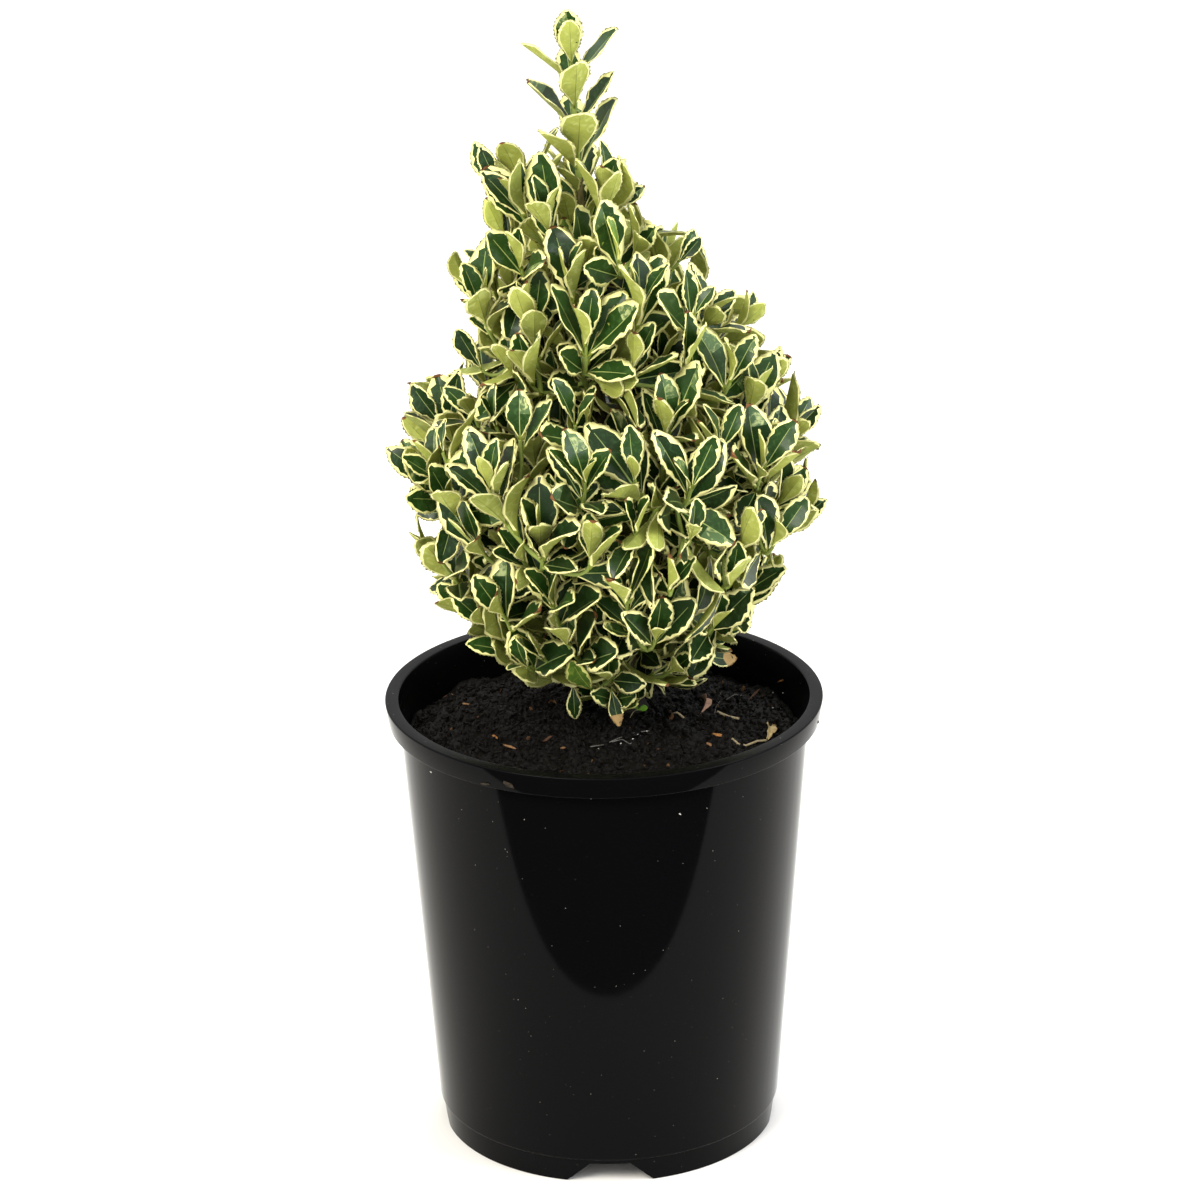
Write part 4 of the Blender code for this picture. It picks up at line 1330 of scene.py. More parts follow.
# %% Grow the twigs
PAIR_GAP = 6.6 * MM
PAIR_SPREADS = (11, 24, 34, 42, 50, 56, 62, 68)
PAIR_SIZES = (0.70, 0.98, 1.08, 1.05, 0.98, 0.90, 0.84, 0.78)
UPRIGHT_TOP = 0.25
SPIRE_GAP = 11 * MM
SPIRE_SPREADS = (14, 54, 42, 58, 48, 58, 50, 62, 58, 62)
SPIRE_SIZES = (0.72, 1.0, 0.92, 1.05, 0.98, 1.08, 1.0, 1.08, 1.0, 1.0)
SPIRE_RINGS = 38
SPIRE_SHAPES = 5
twigs = {mass.name: [] for mass in MASSES}
shoots_of = by_mass(fine_shoots)
inner_of = by_mass(inner_shoots)
for mass in MASSES[1:]:
    stem = stretch(routes[mass.name], BOUGH_SHARE - 0.02, 1, 10)
    twigs[mass.name].append((stem, even_taper(STEM_RADIUS, SHOOT_FOOT_RADIUS, len(stem)), STEM_PAIRS))
    starts = [(spot, (stem[k + 1] - spot).normalized()) for k, spot in enumerate(stem[:-1])]
    nearest_first = sorted(
        [(tip, heading, INNER_PAIRS) for tip, heading in inner_of[mass.name]]
        + [(tip, heading, FINE_PAIRS) for tip, heading in shoots_of[mass.name]],
        key=lambda shoot: (shoot[0] - stem[-1]).length,
    )
    for tip, heading, pairs in nearest_first:

        def cost(start):
            """Length of the shoot, less its climb, with a price for a sharp turn."""
            reach = tip - start[0]
            turn = 1 - start[1].dot(reach.normalized())
            return reach.length - SHOOT_CLIMB_WORTH * reach.z + 8 * MM * turn

        spot, along = min(starts, key=cost)
        bend = tip - heading * (tip - spot).length * 0.55
        points = stretch((spot, bend, tip), 0, 1, SHOOT_STEPS)
        radii = even_taper(SHOOT_FOOT_RADIUS, SHOOT_TIP_RADIUS, len(points))
        twigs[mass.name].append((points, radii, pairs))
        starts += [(points[k], (points[k + 1] - points[k]).normalized()) for k in (2, 3, 4)]

spire_axis = (leader_points[-1] - leader_points[-12]).normalized()
spire_top = CROWN_TIERS[-1][0] - LEAF_LENGTH * 0.74
spire_length = (spire_top - leader_points[-1].z) / spire_axis.z
spire_line = [leader_points[-1] + spire_axis * spire_length * k / 8 for k in range(9)]
twigs["spire"].append((spire_line, even_taper(TRUNK_TIP_RADIUS, SHOOT_TIP_RADIUS, 9), len(SPIRE_SPREADS)))
print("twigs:", sum(len(lines) for lines in twigs.values()))

# %% Stand the leaves on them
ENVELOPE_SLACK = 2 * MM
ENVELOPE_SCATTER = 6 * MM
SPIRE_SLACK = 60 * MM
LEAF_PAST_RIM = 2 * MM
SIDE_LEAF_PAST_RIM = 5 * MM
SEEN_SIZE = 1.12
LEAF_TRIES = ((0, 0), (-0.14, 0.25), (0.14, -0.25), (-0.3, -0.45), (0.3, 0.45), (0.05, 0.75), (0.05, -0.75))
CELL = 30 * MM

HANGING = (
    # lowest leaves, which droop to the mix: foot pixel and height, tip pixel and height, shape
    ((573, 684), 0.221, (575, 721), 0.2045, 2),
    ((611, 688), 0.221, (619, 727), 0.2035, SHAPES_PER_AGE - 1),
    ((636, 676), 0.224, (640, 705), 0.2090, 6),
    ((697, 655), 0.229, (733, 661), 0.2190, SHAPES_PER_AGE - 1),
)

SIDE_SHAPES = (3, 8, 6, 2, 12, 11, 0, 1, 7, 9, 4)
LeafSeat = namedtuple("LeafSeat", "foot along face size shape")
seats = {mass.name: [] for mass in MASSES}
proxies, cells = [], {}


def across_of(axis, turn):
    """A unit direction square to an axis, turned round it."""
    level = UP if abs(axis.z) < 0.98 else Vector((1, 0, 0))
    return Matrix.Rotation(turn, 3, axis) @ axis.cross(level).normalized()


def point_behind_tip(points, back):
    """Point and direction on a line of points, a length back from its end."""
    for a, b in zip(points[-2::-1], points[:0:-1]):
        length = (b - a).length
        if back <= length:
            return b.lerp(a, back / length), (b - a).normalized()
        back -= length
    return None


def room_for(matrix, number, slack=None):
    """The cell and the coarse copy of a leaf, if it has room. With no slack it may leave the skin."""
    points, faces = coarse[number]
    placed = [matrix @ p for p in points]
    if any(p.z < mix_dome(math.hypot(p.x, p.y)) + 1 * MM for p in placed):
        return None
    if any(p.z < POT_HEIGHT + 2 * MM and math.hypot(p.x, p.y) > RIM_INNER - 3 * MM for p in placed):
        return None
    past_rim = LEAF_PAST_RIM if slack is not None else SIDE_LEAF_PAST_RIM
    if max(max(abs(p.x), abs(p.y)) for p in placed) > RIM_RADIUS + past_rim:
        return None
    outer = max(placed, key=lambda p: (p - matrix.translation).length)
    if slack is not None:
        away = outer - crown_section(outer.z)[0]
        if away.length > crown_radius(outer.z, math.atan2(away.y, away.x)) + slack:
            return None
        if any(against_sky(p) for p in placed[::3]):
            return None
    tree = BVHTree.FromPolygons(placed, faces)
    middle = sum(placed, Vector()) / len(placed)
    home = tuple(math.floor(c / CELL) for c in middle)
    for dx in (-1, 0, 1):
        for dy in (-1, 0, 1):
            for dz in (-1, 0, 1):
                for n in cells.get((home[0] + dx, home[1] + dy, home[2] + dz), ()):
                    if tree.overlap(proxies[n]):
                        return None
    return home, tree


def leaf_matrix(start, along, face, size):
    """Places a leaf shape with its foot at a point, its length and its face in two directions."""
    return Matrix.Translation(start) @ (Matrix((along, face.cross(along), face)).transposed() * size).to_4x4()


def seat_leaf(mass_name, foot, axis, turn, spread, size, number, dice):
    """Tries a leaf as it should stand, then turned, closed, opened or smaller."""
    roll = dice.uniform(-0.3, 0.3)
    slack = ENVELOPE_SLACK + dice.random() ** 2 * ENVELOPE_SCATTER
    if mass_name == "spire":
        slack = SPIRE_SLACK
    for scale in (1, 0.86, 0.72):
        for change, swing in LEAF_TRIES:
            side = across_of(axis, turn + swing)
            angle = max(spread + change, 0.1)
            along = axis * math.cos(angle) + side * math.sin(angle)
            face = Matrix.Rotation(roll, 3, along) @ (axis * math.sin(angle) - side * math.cos(angle))
            start = foot + side * 0.9 * MM + along * 0.6 * MM
            found = room_for(leaf_matrix(start, along, face, size * scale), number, slack)
            if found:
                cells.setdefault(found[0], []).append(len(proxies))
                proxies.append(found[1])
                seats[mass_name].append(
                    LeafSeat(foot + side * 0.2 * MM, along, face, size * scale, number)
                )
                return True
    return False


straightest = {
    a: sorted(
        range(SHAPES_PER_AGE - 1),
        key=lambda k: -max(p.x for p in coarse[a * SHAPES_PER_AGE + k][0]),
    )[:SPIRE_SHAPES]
    for a in range(len(AGES))
}
TO_CAMERA = Vector((0, -1, 0))
by_hand = []
for foot, foot_height, end, end_height, kind in HANGING:
    up_side = UP * 0.6 + TO_CAMERA * 0.8
    by_hand.append((seen_at(*foot, foot_height), seen_at(*end, end_height), up_side, kind))
for k, (foot, heading, end, turned) in enumerate(side_leaves):
    up_side = heading * (1 - turned) + TO_CAMERA * turned
    by_hand.append((foot, end, up_side, SIDE_SHAPES[k % len(SIDE_SHAPES)]))
for foot, end, up_side, kind in by_hand:
    along = (end - foot).normalized()
    face = up_side.cross(along).cross(-along).normalized()
    size = (end - foot).length / LEAF_LENGTH
    found = room_for(leaf_matrix(foot, along, face, size), kind)
    if not found:
        print("no room for the leaf that ends at", [round(1000 * c) for c in end])
        continue
    cells.setdefault(found[0], []).append(len(proxies))
    proxies.append(found[1])
    seats[nearest_mass(foot).name].append(LeafSeat(foot, along, face, size, kind))
growing = []
for m, mass in enumerate(MASSES):
    dice = random.Random(SEED * 100 + m)
    for points, radii, pairs in twigs[mass.name]:
        if mass.name == "spire":
            points = leader_points[-SPIRE_RINGS:-1] + points
        lime = dice.random() < 0.07
        first_turn = dice.choice((0, math.pi / 2)) + dice.uniform(-0.4, 0.4)
        vigour = SEEN_SIZE if tuple(points[-1]) in seen_tips else 1
        growing.append((mass.name, points, pairs, vigour, lime, first_turn, random.Random(dice.random())))
tried = 0
for pair in range(max(len(PAIR_SPREADS), len(SPIRE_SPREADS))):
    for mass_name, points, pairs, vigour, lime, first_turn, dice in growing:
        on_spire = mass_name == "spire"
        spreads, sizes = (SPIRE_SPREADS, SPIRE_SIZES) if on_spire else (PAIR_SPREADS, PAIR_SIZES)
        if pair >= pairs:
            continue
        gap = SPIRE_GAP if on_spire else PAIR_GAP
        back = 0.4 * MM + gap * pair * (0.92 if pair > 1 else 0.75) * dice.uniform(0.94, 1.06)
        found = point_behind_tip(points, back)
        if found is None:
            continue
        foot, axis = found
        share = crown_share(foot.z)
        age = 2 if lime and pair == 0 else 1 if dice.random() < 0.15 + 0.6 * share or pair == 0 else 0
        for half in (0, 2):
            turn = (0.15 if on_spire else first_turn) + (pair + half) * math.pi / 2
            kind = SHAPES_PER_AGE - 1 if dice.random() < 0.003 else dice.randrange(SHAPES_PER_AGE - 1)
            if on_spire:
                kind = dice.choice(straightest[age])
            size = sizes[pair] * vigour * dice.uniform(0.88, 1.08)
            spread = math.radians(spreads[pair] * (1 - UPRIGHT_TOP * share) + dice.uniform(-7, 7))
            seat_leaf(mass_name, foot, axis, turn, spread, size, age * SHAPES_PER_AGE + kind, dice)
            tried += 1
print("leaves:", sum(len(s) for s in seats.values()), "of", tried)

# %% [markdown]
# ## Leaves and twigs by Geometry Nodes
#
# A small node tree puts a leaf shape on every seat: it reads the seat's two directions as a
# rotation, and its size and shape number from attributes. The leaves are then made real,
# because an export keeps meshes and drops instances, and each face takes the material of
# its tissue. A second tree sweeps a slim six-sided section along the twigs.

# %% The leaf tree
leaf_tree = bpy.data.node_groups.new("leaves_on_seats", "GeometryNodeTree")
leaf_tree.interface.new_socket("Geometry", in_out="INPUT", socket_type="NodeSocketGeometry")
shapes_socket = leaf_tree.interface.new_socket("Leaf shapes", in_out="INPUT", socket_type="NodeSocketCollection")
size_socket = leaf_tree.interface.new_socket("Leaf size", in_out="INPUT", socket_type="NodeSocketFloat")
leaf_tree.interface.new_socket("Geometry", in_out="OUTPUT", socket_type="NodeSocketGeometry")
entry = add_node(leaf_tree, "NodeGroupInput")
along_seat = add_node(leaf_tree, "GeometryNodeInputNamedAttribute", {"Name": "along"}, data_type="FLOAT_VECTOR")
face_seat = add_node(leaf_tree, "GeometryNodeInputNamedAttribute", {"Name": "face"}, data_type="FLOAT_VECTOR")
size_seat = add_node(leaf_tree, "GeometryNodeInputNamedAttribute", {"Name": "size"}, data_type="FLOAT")
shape_seat = add_node(leaf_tree, "GeometryNodeInputNamedAttribute", {"Name": "shape"}, data_type="INT")
stance = add_node(
    leaf_tree,
    "FunctionNodeAxesToRotation",
    {"Primary Axis": along_seat.outputs["Attribute"], "Secondary Axis": face_seat.outputs["Attribute"]},
    primary_axis="X",
    secondary_axis="Z",
)
scale = add_node(
    leaf_tree,
    "ShaderNodeMath",
    {0: size_seat.outputs["Attribute"], 1: entry.outputs["Leaf size"]},
    operation="MULTIPLY",
)
choices = add_node(
    leaf_tree,
    "GeometryNodeCollectionInfo",
    {"Collection": entry.outputs["Leaf shapes"], "Separate Children": True, "Reset Children": True},
)
placed = add_node(
    leaf_tree,
    "GeometryNodeInstanceOnPoints",
    {
        "Points": entry.outputs["Geometry"],
        "Instance": choices.outputs["Instances"],
        "Pick Instance": True,
        "Instance Index": shape_seat.outputs["Attribute"],
        "Rotation": stance.outputs["Rotation"],
        "Scale": scale.outputs["Value"],
    },
)
real = add_node(leaf_tree, "GeometryNodeRealizeInstances", {"Geometry": placed.outputs["Instances"]})
tissue = add_node(leaf_tree, "GeometryNodeInputNamedAttribute", {"Name": "tissue"}, data_type="INT")
flow = real.outputs["Geometry"]
for number, material in enumerate(tissue_materials):
    chosen = add_node(
        leaf_tree,
        "FunctionNodeCompare",
        {2: tissue.outputs["Attribute"], 3: number},
        data_type="INT",
        operation="EQUAL",
    )
    painted = add_node(
        leaf_tree,
        "GeometryNodeSetMaterial",
        {"Geometry": flow, "Selection": chosen.outputs["Result"], "Material": material},
    )
    flow = painted.outputs["Geometry"]
add_node(leaf_tree, "NodeGroupOutput", {0: flow})
print("nodes in the leaf tree:", len(leaf_tree.nodes))

# %% The twig tree
twig_tree = bpy.data.node_groups.new("twigs_on_lines", "GeometryNodeTree")
twig_tree.interface.new_socket("Geometry", in_out="INPUT", socket_type="NodeSocketGeometry")
sides_socket = twig_tree.interface.new_socket("Sides", in_out="INPUT", socket_type="NodeSocketInt")
skin_socket = twig_tree.interface.new_socket("Skin", in_out="INPUT", socket_type="NodeSocketMaterial")
twig_tree.interface.new_socket("Geometry", in_out="OUTPUT", socket_type="NodeSocketGeometry")
entry = add_node(twig_tree, "NodeGroupInput")
ring = add_node(
    twig_tree, "GeometryNodeCurvePrimitiveCircle", {"Resolution": entry.outputs["Sides"], "Radius": 1.0}
)
thickness = add_node(twig_tree, "GeometryNodeInputNamedAttribute", {"Name": "radius"}, data_type="FLOAT")
swept = add_node(
    twig_tree,
    "GeometryNodeCurveToMesh",
    {
        "Curve": entry.outputs["Geometry"],
        "Profile Curve": ring.outputs["Curve"],
        "Scale": thickness.outputs["Attribute"],
        "Fill Caps": True,
    },
)
smooth = add_node(twig_tree, "GeometryNodeSetShadeSmooth", {"Geometry": swept.outputs["Mesh"]})
skinned = add_node(
    twig_tree,
    "GeometryNodeSetMaterial",
    {"Geometry": smooth.outputs["Geometry"], "Material": entry.outputs["Skin"]},
)
add_node(twig_tree, "NodeGroupOutput", {0: skinned.outputs["Geometry"]})
print("nodes in the twig tree:", len(twig_tree.nodes))

# %% [markdown]
# ## Young shoots
#
# Spindle shoots stay green for two or three years. They are smooth, with a faint paler line
# down each side, so a slightly glossy green with a soft mottle is enough.

# %% Green shoot skin
shoot_skin = leaf_tissue("green_shoot_skin", "#8a9a4e", 0.5)


def seats_mesh(name, leaf_seats):
    """A mesh of loose points that carries each seat's directions, size and shape."""
    mesh = bpy.data.meshes.new(name)
    mesh.from_pydata([seat.foot for seat in leaf_seats], [], [])
    for key, kind, field in (
        ("along", "FLOAT_VECTOR", "vector"),
        ("face", "FLOAT_VECTOR", "vector"),
        ("size", "FLOAT", "value"),
        ("shape", "INT", "value"),
    ):
        attribute = mesh.attributes.new(key, kind, "POINT")
        values = np.array([getattr(seat, key) for seat in leaf_seats])
        attribute.data.foreach_set(field, values.ravel())
    return mesh


def twig_curve(name, lines):
    """All the twigs of a mass as one curve, with a slight swelling at their nodes."""
    curve = bpy.data.curves.new(name, "CURVE")
    curve.dimensions = "3D"
    for points, radii, pairs in lines:
        spline = curve.splines.new("POLY")
        spline.points.add(len(points) - 1)
        for k, (point, radius) in enumerate(zip(points, radii)):
            spline.points[k].co = (*point, 1)
            spline.points[k].radius = radius * (1.12 if k % 2 else 1)
    return curve


for mass in MASSES:
    grower = bpy.data.objects.new("grower", seats_mesh("seats", seats[mass.name]))
    bpy.context.scene.collection.objects.link(grower)
    modifier = grower.modifiers.new("Leaves", "NODES")
    modifier.node_group = leaf_tree
    modifier[shapes_socket.identifier] = leaf_shapes
    modifier[size_socket.identifier] = 1.0
    leaf_mesh = finished_mesh(grower, f"leaves_{mass.name}")
    leaves = add_piece(f"leaves_{mass.name}", leaf_mesh, "variegated_leaf")
    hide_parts(f"foliage_{mass.name}")

    liner = bpy.data.objects.new("liner", twig_curve("lines", twigs[mass.name]))
    bpy.context.scene.collection.objects.link(liner)
    modifier = liner.modifiers.new("Twigs", "NODES")
    modifier.node_group = twig_tree
    modifier[sides_socket.identifier] = 6
    modifier[skin_socket.identifier] = shoot_skin
    twig_mesh = finished_mesh(liner, f"twigs_{mass.name}")
    add_piece(f"twigs_{mass.name}", twig_mesh, "green_brown_bark")
    print(leaves.name, len(seats[mass.name]), "leaves,", sum(len(p.vertices) - 2 for p in leaf_mesh.polygons), "triangles")

for leaf in list(leaf_shapes.objects):
    bpy.data.objects.remove(leaf, do_unlink=True)
bpy.data.collections.remove(leaf_shapes)

# %% [markdown]
# ## Potting mix
#
# Potting mix is composted bark, nearly black when moist, with crumbs and chips of many
# sizes. Its surface is a disc whose points are moved by two noises, one for the lumps and
# one for the crumbs, closed below where it can't be seen.

# %% Surface of the mix
MIX_RINGS = 110
MIX_SPOKES = 200
MIX_LUMP = 3.4 * MM
MIX_GRIT = 1.5 * MM
def mix_height(x, y):
    """Height of the mix: a shallow dome, level round the stem, with lumps and grit."""
    dome = mix_dome(math.hypot(x, y))
    lumps = noise.fractal(Vector((x * 70, y * 70, 3.1)), 1.0, 2.0, 3) * MIX_LUMP
    grit = noise.fractal(Vector((x * 420, y * 420, 9.7)), 0.8, 2.0, 3) * MIX_GRIT
    near_stem = math.hypot(x - TRUNK_FOOT[0], y - TRUNK_FOOT[1])
    calm = min(max((near_stem - 9 * MM) / (8 * MM), 0), 1)
    return dome - 0.5 * MM + (lumps + grit) * calm


mix_shape = bmesh.new()
rings = []
for k in range(1, MIX_RINGS + 1):
    radius = MIX_REACH * k / MIX_RINGS
    rings.append(
        [
            mix_shape.verts.new((x, y, mix_height(x, y)))
            for x, y in (
                (radius * math.cos(a), radius * math.sin(a))
                for a in (2 * math.pi * s / MIX_SPOKES for s in range(MIX_SPOKES))
            )
        ]
    )
foot_reach = body_radius(FLOOR_TOP) - WALL - GAP
rings.append(
    [
        mix_shape.verts.new(
            (
                foot_reach * math.cos(2 * math.pi * s / MIX_SPOKES),
                foot_reach * math.sin(2 * math.pi * s / MIX_SPOKES),
                FLOOR_TOP + GAP,
            )
        )
        for s in range(MIX_SPOKES)
    ]
)
middle = mix_shape.verts.new((0, 0, mix_height(0, 0)))
bottom = mix_shape.verts.new((0, 0, FLOOR_TOP + GAP))
for s in range(MIX_SPOKES):
    t = (s + 1) % MIX_SPOKES
    mix_shape.faces.new((middle, rings[0][s], rings[0][t]))
    for inner, outer in zip(rings, rings[1:]):
        mix_shape.faces.new((inner[s], outer[s], outer[t], inner[t]))
    mix_shape.faces.new((bottom, rings[-1][t], rings[-1][s]))
mix_mesh = bpy.data.meshes.new("potting_mix_surface")
mix_shape.to_mesh(mix_mesh)
mix_shape.free()
mix_mesh.shade_smooth()
print("faces of the mix:", len(mix_mesh.polygons))

# %% Mix, crumb and litter finishes


def composted(name, dark, light, cell_mm, roughness=0.9):
    """Composted or dried plant matter: two tones in grains of one size."""
    material = bpy.data.materials.new(name)
    material.use_nodes = True
    tree = material.node_tree
    shader = tree.nodes["Principled BSDF"]
    place = add_node(tree, "ShaderNodeTexCoord")
    grains = add_node(
        tree,
        "ShaderNodeTexNoise",
        {"Vector": place.outputs["Object"], "Scale": 1000 / cell_mm, "Detail": 5.0, "Roughness": 0.7},
    )
    tones = add_node(tree, "ShaderNodeValToRGB", {"Fac": grains.outputs["Fac"]})
    tones.color_ramp.elements[0].position = 0.35
    tones.color_ramp.elements[0].color = linear(dark)
    tones.color_ramp.elements[1].position = 0.75
    tones.color_ramp.elements[1].color = linear(light)
    bump = add_node(
        tree,
        "ShaderNodeBump",
        {"Height": grains.outputs["Fac"], "Distance": cell_mm * 0.3 * MM, "Strength": 0.8},
    )
    tree.links.new(tones.outputs["Color"], shader.inputs["Base Color"])
    tree.links.new(bump.outputs["Normal"], shader.inputs["Normal"])
    shader.inputs["Roughness"].default_value = roughness
    shader.inputs["Specular IOR Level"].default_value = 0.12
    return material


moist_mix = composted("moist_composted_bark", "#040302", "#100d09", 1.2, 0.6)
mix_piece = add_piece("potting_mix_surface", mix_mesh, "potting_mix", moist_mix)
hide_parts("potting_mix")

# %% [markdown]
# Crumbs lie on the mix as separate grains. A node tree scatters points on the surface, puts
# one of a few lumpy pebbles on each with a random turn and size, and makes them real. The
# number of crumbs for each square metre and the seed are inputs of the tree.

# %% Crumbs
crumb_tree = bpy.data.node_groups.new("crumbs_on_surface", "GeometryNodeTree")
crumb_tree.interface.new_socket("Geometry", in_out="INPUT", socket_type="NodeSocketGeometry")
crumb_sockets = {}
for label, kind in (
    ("Grains", "NodeSocketCollection"),
    ("Density", "NodeSocketFloat"),
    ("Smallest", "NodeSocketFloat"),
    ("Largest", "NodeSocketFloat"),
    ("Seed", "NodeSocketInt"),
    ("Finish", "NodeSocketMaterial"),
):
    crumb_sockets[label] = crumb_tree.interface.new_socket(label, in_out="INPUT", socket_type=kind)
crumb_tree.interface.new_socket("Geometry", in_out="OUTPUT", socket_type="NodeSocketGeometry")
entry = add_node(crumb_tree, "NodeGroupInput")
facing = add_node(crumb_tree, "GeometryNodeInputNormal")
upward = add_node(crumb_tree, "ShaderNodeSeparateXYZ", {0: facing.outputs["Normal"]})
on_top = add_node(crumb_tree, "FunctionNodeCompare", {0: upward.outputs["Z"], 1: 0.2}, operation="GREATER_THAN")
points = add_node(
    crumb_tree,
    "GeometryNodeDistributePointsOnFaces",
    {
        "Mesh": entry.outputs["Geometry"],
        "Selection": on_top.outputs["Result"],
        "Density": entry.outputs["Density"],
        "Seed": entry.outputs["Seed"],
    },
)
turns = add_node(
    crumb_tree,
    "FunctionNodeRandomValue",
    {0: (0, 0, 0), 1: (6.28, 6.28, 6.28), "Seed": entry.outputs["Seed"]},
    data_type="FLOAT_VECTOR",
)
sizes = add_node(
    crumb_tree,
    "FunctionNodeRandomValue",
    {2: entry.outputs["Smallest"], 3: entry.outputs["Largest"], "Seed": entry.outputs["Seed"]},
    data_type="FLOAT",
)
grains = add_node(
    crumb_tree,
    "GeometryNodeCollectionInfo",
    {"Collection": entry.outputs["Grains"], "Separate Children": True, "Reset Children": True},
)
scattered = add_node(
    crumb_tree,
    "GeometryNodeInstanceOnPoints",
    {
        "Points": points.outputs["Points"],
        "Instance": grains.outputs["Instances"],
        "Pick Instance": True,
        "Rotation": turns.outputs[0],
        "Scale": sizes.outputs[1],
    },
)
solid = add_node(crumb_tree, "GeometryNodeRealizeInstances", {"Geometry": scattered.outputs["Instances"]})
finished = add_node(
    crumb_tree,
    "GeometryNodeSetMaterial",
    {"Geometry": solid.outputs["Geometry"], "Material": entry.outputs["Finish"]},
)
add_node(crumb_tree, "NodeGroupOutput", {0: finished.outputs["Geometry"]})


def grain_collection(name, count, flatness, length, seed):
    """A few lumpy grains one unit across, to be scattered many times."""
    dice = random.Random(seed)
    collection = bpy.data.collections.new(name)
    for k in range(count):
        grain = bmesh.new()
        bmesh.ops.create_icosphere(grain, subdivisions=1, radius=0.5)
        for vert in grain.verts:
            vert.co *= dice.uniform(0.7, 1.25)
            vert.co.z *= flatness
            vert.co.x *= length
        mesh = bpy.data.meshes.new(f"{name}_{k}")
        grain.to_mesh(mesh)
        grain.free()
        collection.objects.link(bpy.data.objects.new(f"{name}_{k}", mesh))
    return collection


def scatter_grains(name, grains, density, smallest, largest, seed, finish):
    """Scatters grains over the mix and returns them as one riding piece."""
    bed_shape = bmesh.new()
    bed_shape.from_mesh(mix_mesh)
    covered = [
        face
        for face in bed_shape.faces
        if face.normal.z < 0.2 or face.calc_center_median().xy.length > MIX_REACH - largest / 2 - 1 * MM
    ]
    bmesh.ops.delete(bed_shape, geom=covered, context="FACES")
    bed_mesh = bpy.data.meshes.new("bed")
    bed_shape.to_mesh(bed_mesh)
    bed_shape.free()
    bed = bpy.data.objects.new("bed", bed_mesh)
    bpy.context.scene.collection.objects.link(bed)
    modifier = bed.modifiers.new("Crumbs", "NODES")
    modifier.node_group = crumb_tree
    for label, value in (
        ("Grains", grains),
        ("Density", density),
        ("Smallest", smallest),
        ("Largest", largest),
        ("Seed", seed),
        ("Finish", finish),
    ):
        modifier[crumb_sockets[label].identifier] = value
    mesh = finished_mesh(bed, name)
    print(name, len(mesh.polygons), "faces")
    return add_piece(name, mesh, "potting_mix")


brown_chip = composted("dry_bark_chip", "#3a2618", "#7a5a3a", 1.5)
round_grains = grain_collection("crumb", 6, 0.75, 1.1, 5)
long_grains = grain_collection("chip", 5, 0.32, 1.7, 6)
scatter_grains("mix_crumbs", round_grains, 210000.0, 0.8 * MM, 3.4 * MM, 11, moist_mix)
scatter_grains("mix_chips", long_grains, 9000.0, 1.5 * MM, 4.5 * MM, 12, moist_mix)
scatter_grains("mix_brown_chips", long_grains, 2600.0, 1.0 * MM, 2.8 * MM, 13, brown_chip)
for collection in (round_grains, long_grains):
    for grain in list(collection.objects):
        bpy.data.objects.remove(grain, do_unlink=True)
    bpy.data.collections.remove(collection)

# %% [markdown]
# ## Litter on the mix
#
# Small things have fallen on the mix: chips of bark, a curled dead leaf, a bit of dry
# stalk with its leaf, grey fibres and white grit. A weed seedling has come up by the stem,
# and a smear of mud has dried on the skirt. Each thing is placed where its pixel's ray
# meets the mix or the wall. A chip is a pebble that has been drawn out and flattened, and
# a stalk is the same swept tube as the limbs.

# %% Places on the mix and on the wall


def on_mix(across, down, lift=0.8 * MM):
    """The point that shows at a pixel: on the mix, lifted a little, or else on the wall's inside."""
    height = MIX_CROWN_HEIGHT
    for _ in range(4):
        spot = seen_at(across, down, height)
        height = mix_dome(math.hypot(spot.x, spot.y))
    if math.hypot(spot.x, spot.y) < MIX_REACH - lift:
        return Vector((spot.x, spot.y, mix_height(spot.x, spot.y) + lift))
    while math.hypot(spot.x, spot.y) > body_radius(spot.z) - WALL - lift / 2:
        height += 0.1 * MM
        spot = seen_at(across, down, height)
    return spot


def on_wall(across, down):
    """The point of the pot's skirt or wall that shows at a pixel, and which way it faces."""
    for step in range(4000):
        spot = seen_at(across, down, POT_HEIGHT - 0.05 * MM * step)
        wall = body_radius(spot.z) if spot.z < SKIRT_FOOT else SKIRT_RADIUS + 0.7 * MM
        if math.hypot(spot.x, spot.y) <= wall:
            break
    return spot, Vector((spot.x, spot.y, 0)).normalized()


def add_chip(shape, start, end, width, thickness, facing, dice):
    """Adds a drawn-out pebble between two points, flat against what it lies on."""
    made = bmesh.ops.create_icosphere(shape, subdivisions=2, radius=0.5)["verts"]
    along = (end - start).normalized()
    side = facing.cross(along).normalized()
    facing = along.cross(side)
    length = (end - start).length
    shift = dice.uniform(0, 50)
    for vert in made:
        rough = 1 + 0.5 * noise.noise(vert.co * 3.1 + Vector((shift, 0, 0)))
        taper = 1 - 0.5 * abs(vert.co.x)
        vert.co = (
            (start + end) / 2
            + along * vert.co.x * length * rough
            + side * (vert.co.y * width * rough * taper + 0.15 * width * math.sin(vert.co.x * 5))
            + facing * vert.co.z * thickness * rough
        )


def mesh_from(shape, name):
    """Turns what was built into a smooth mesh."""
    mesh = bpy.data.meshes.new(name)
    shape.to_mesh(mesh)
    shape.free()
    mesh.shade_smooth()
    return mesh


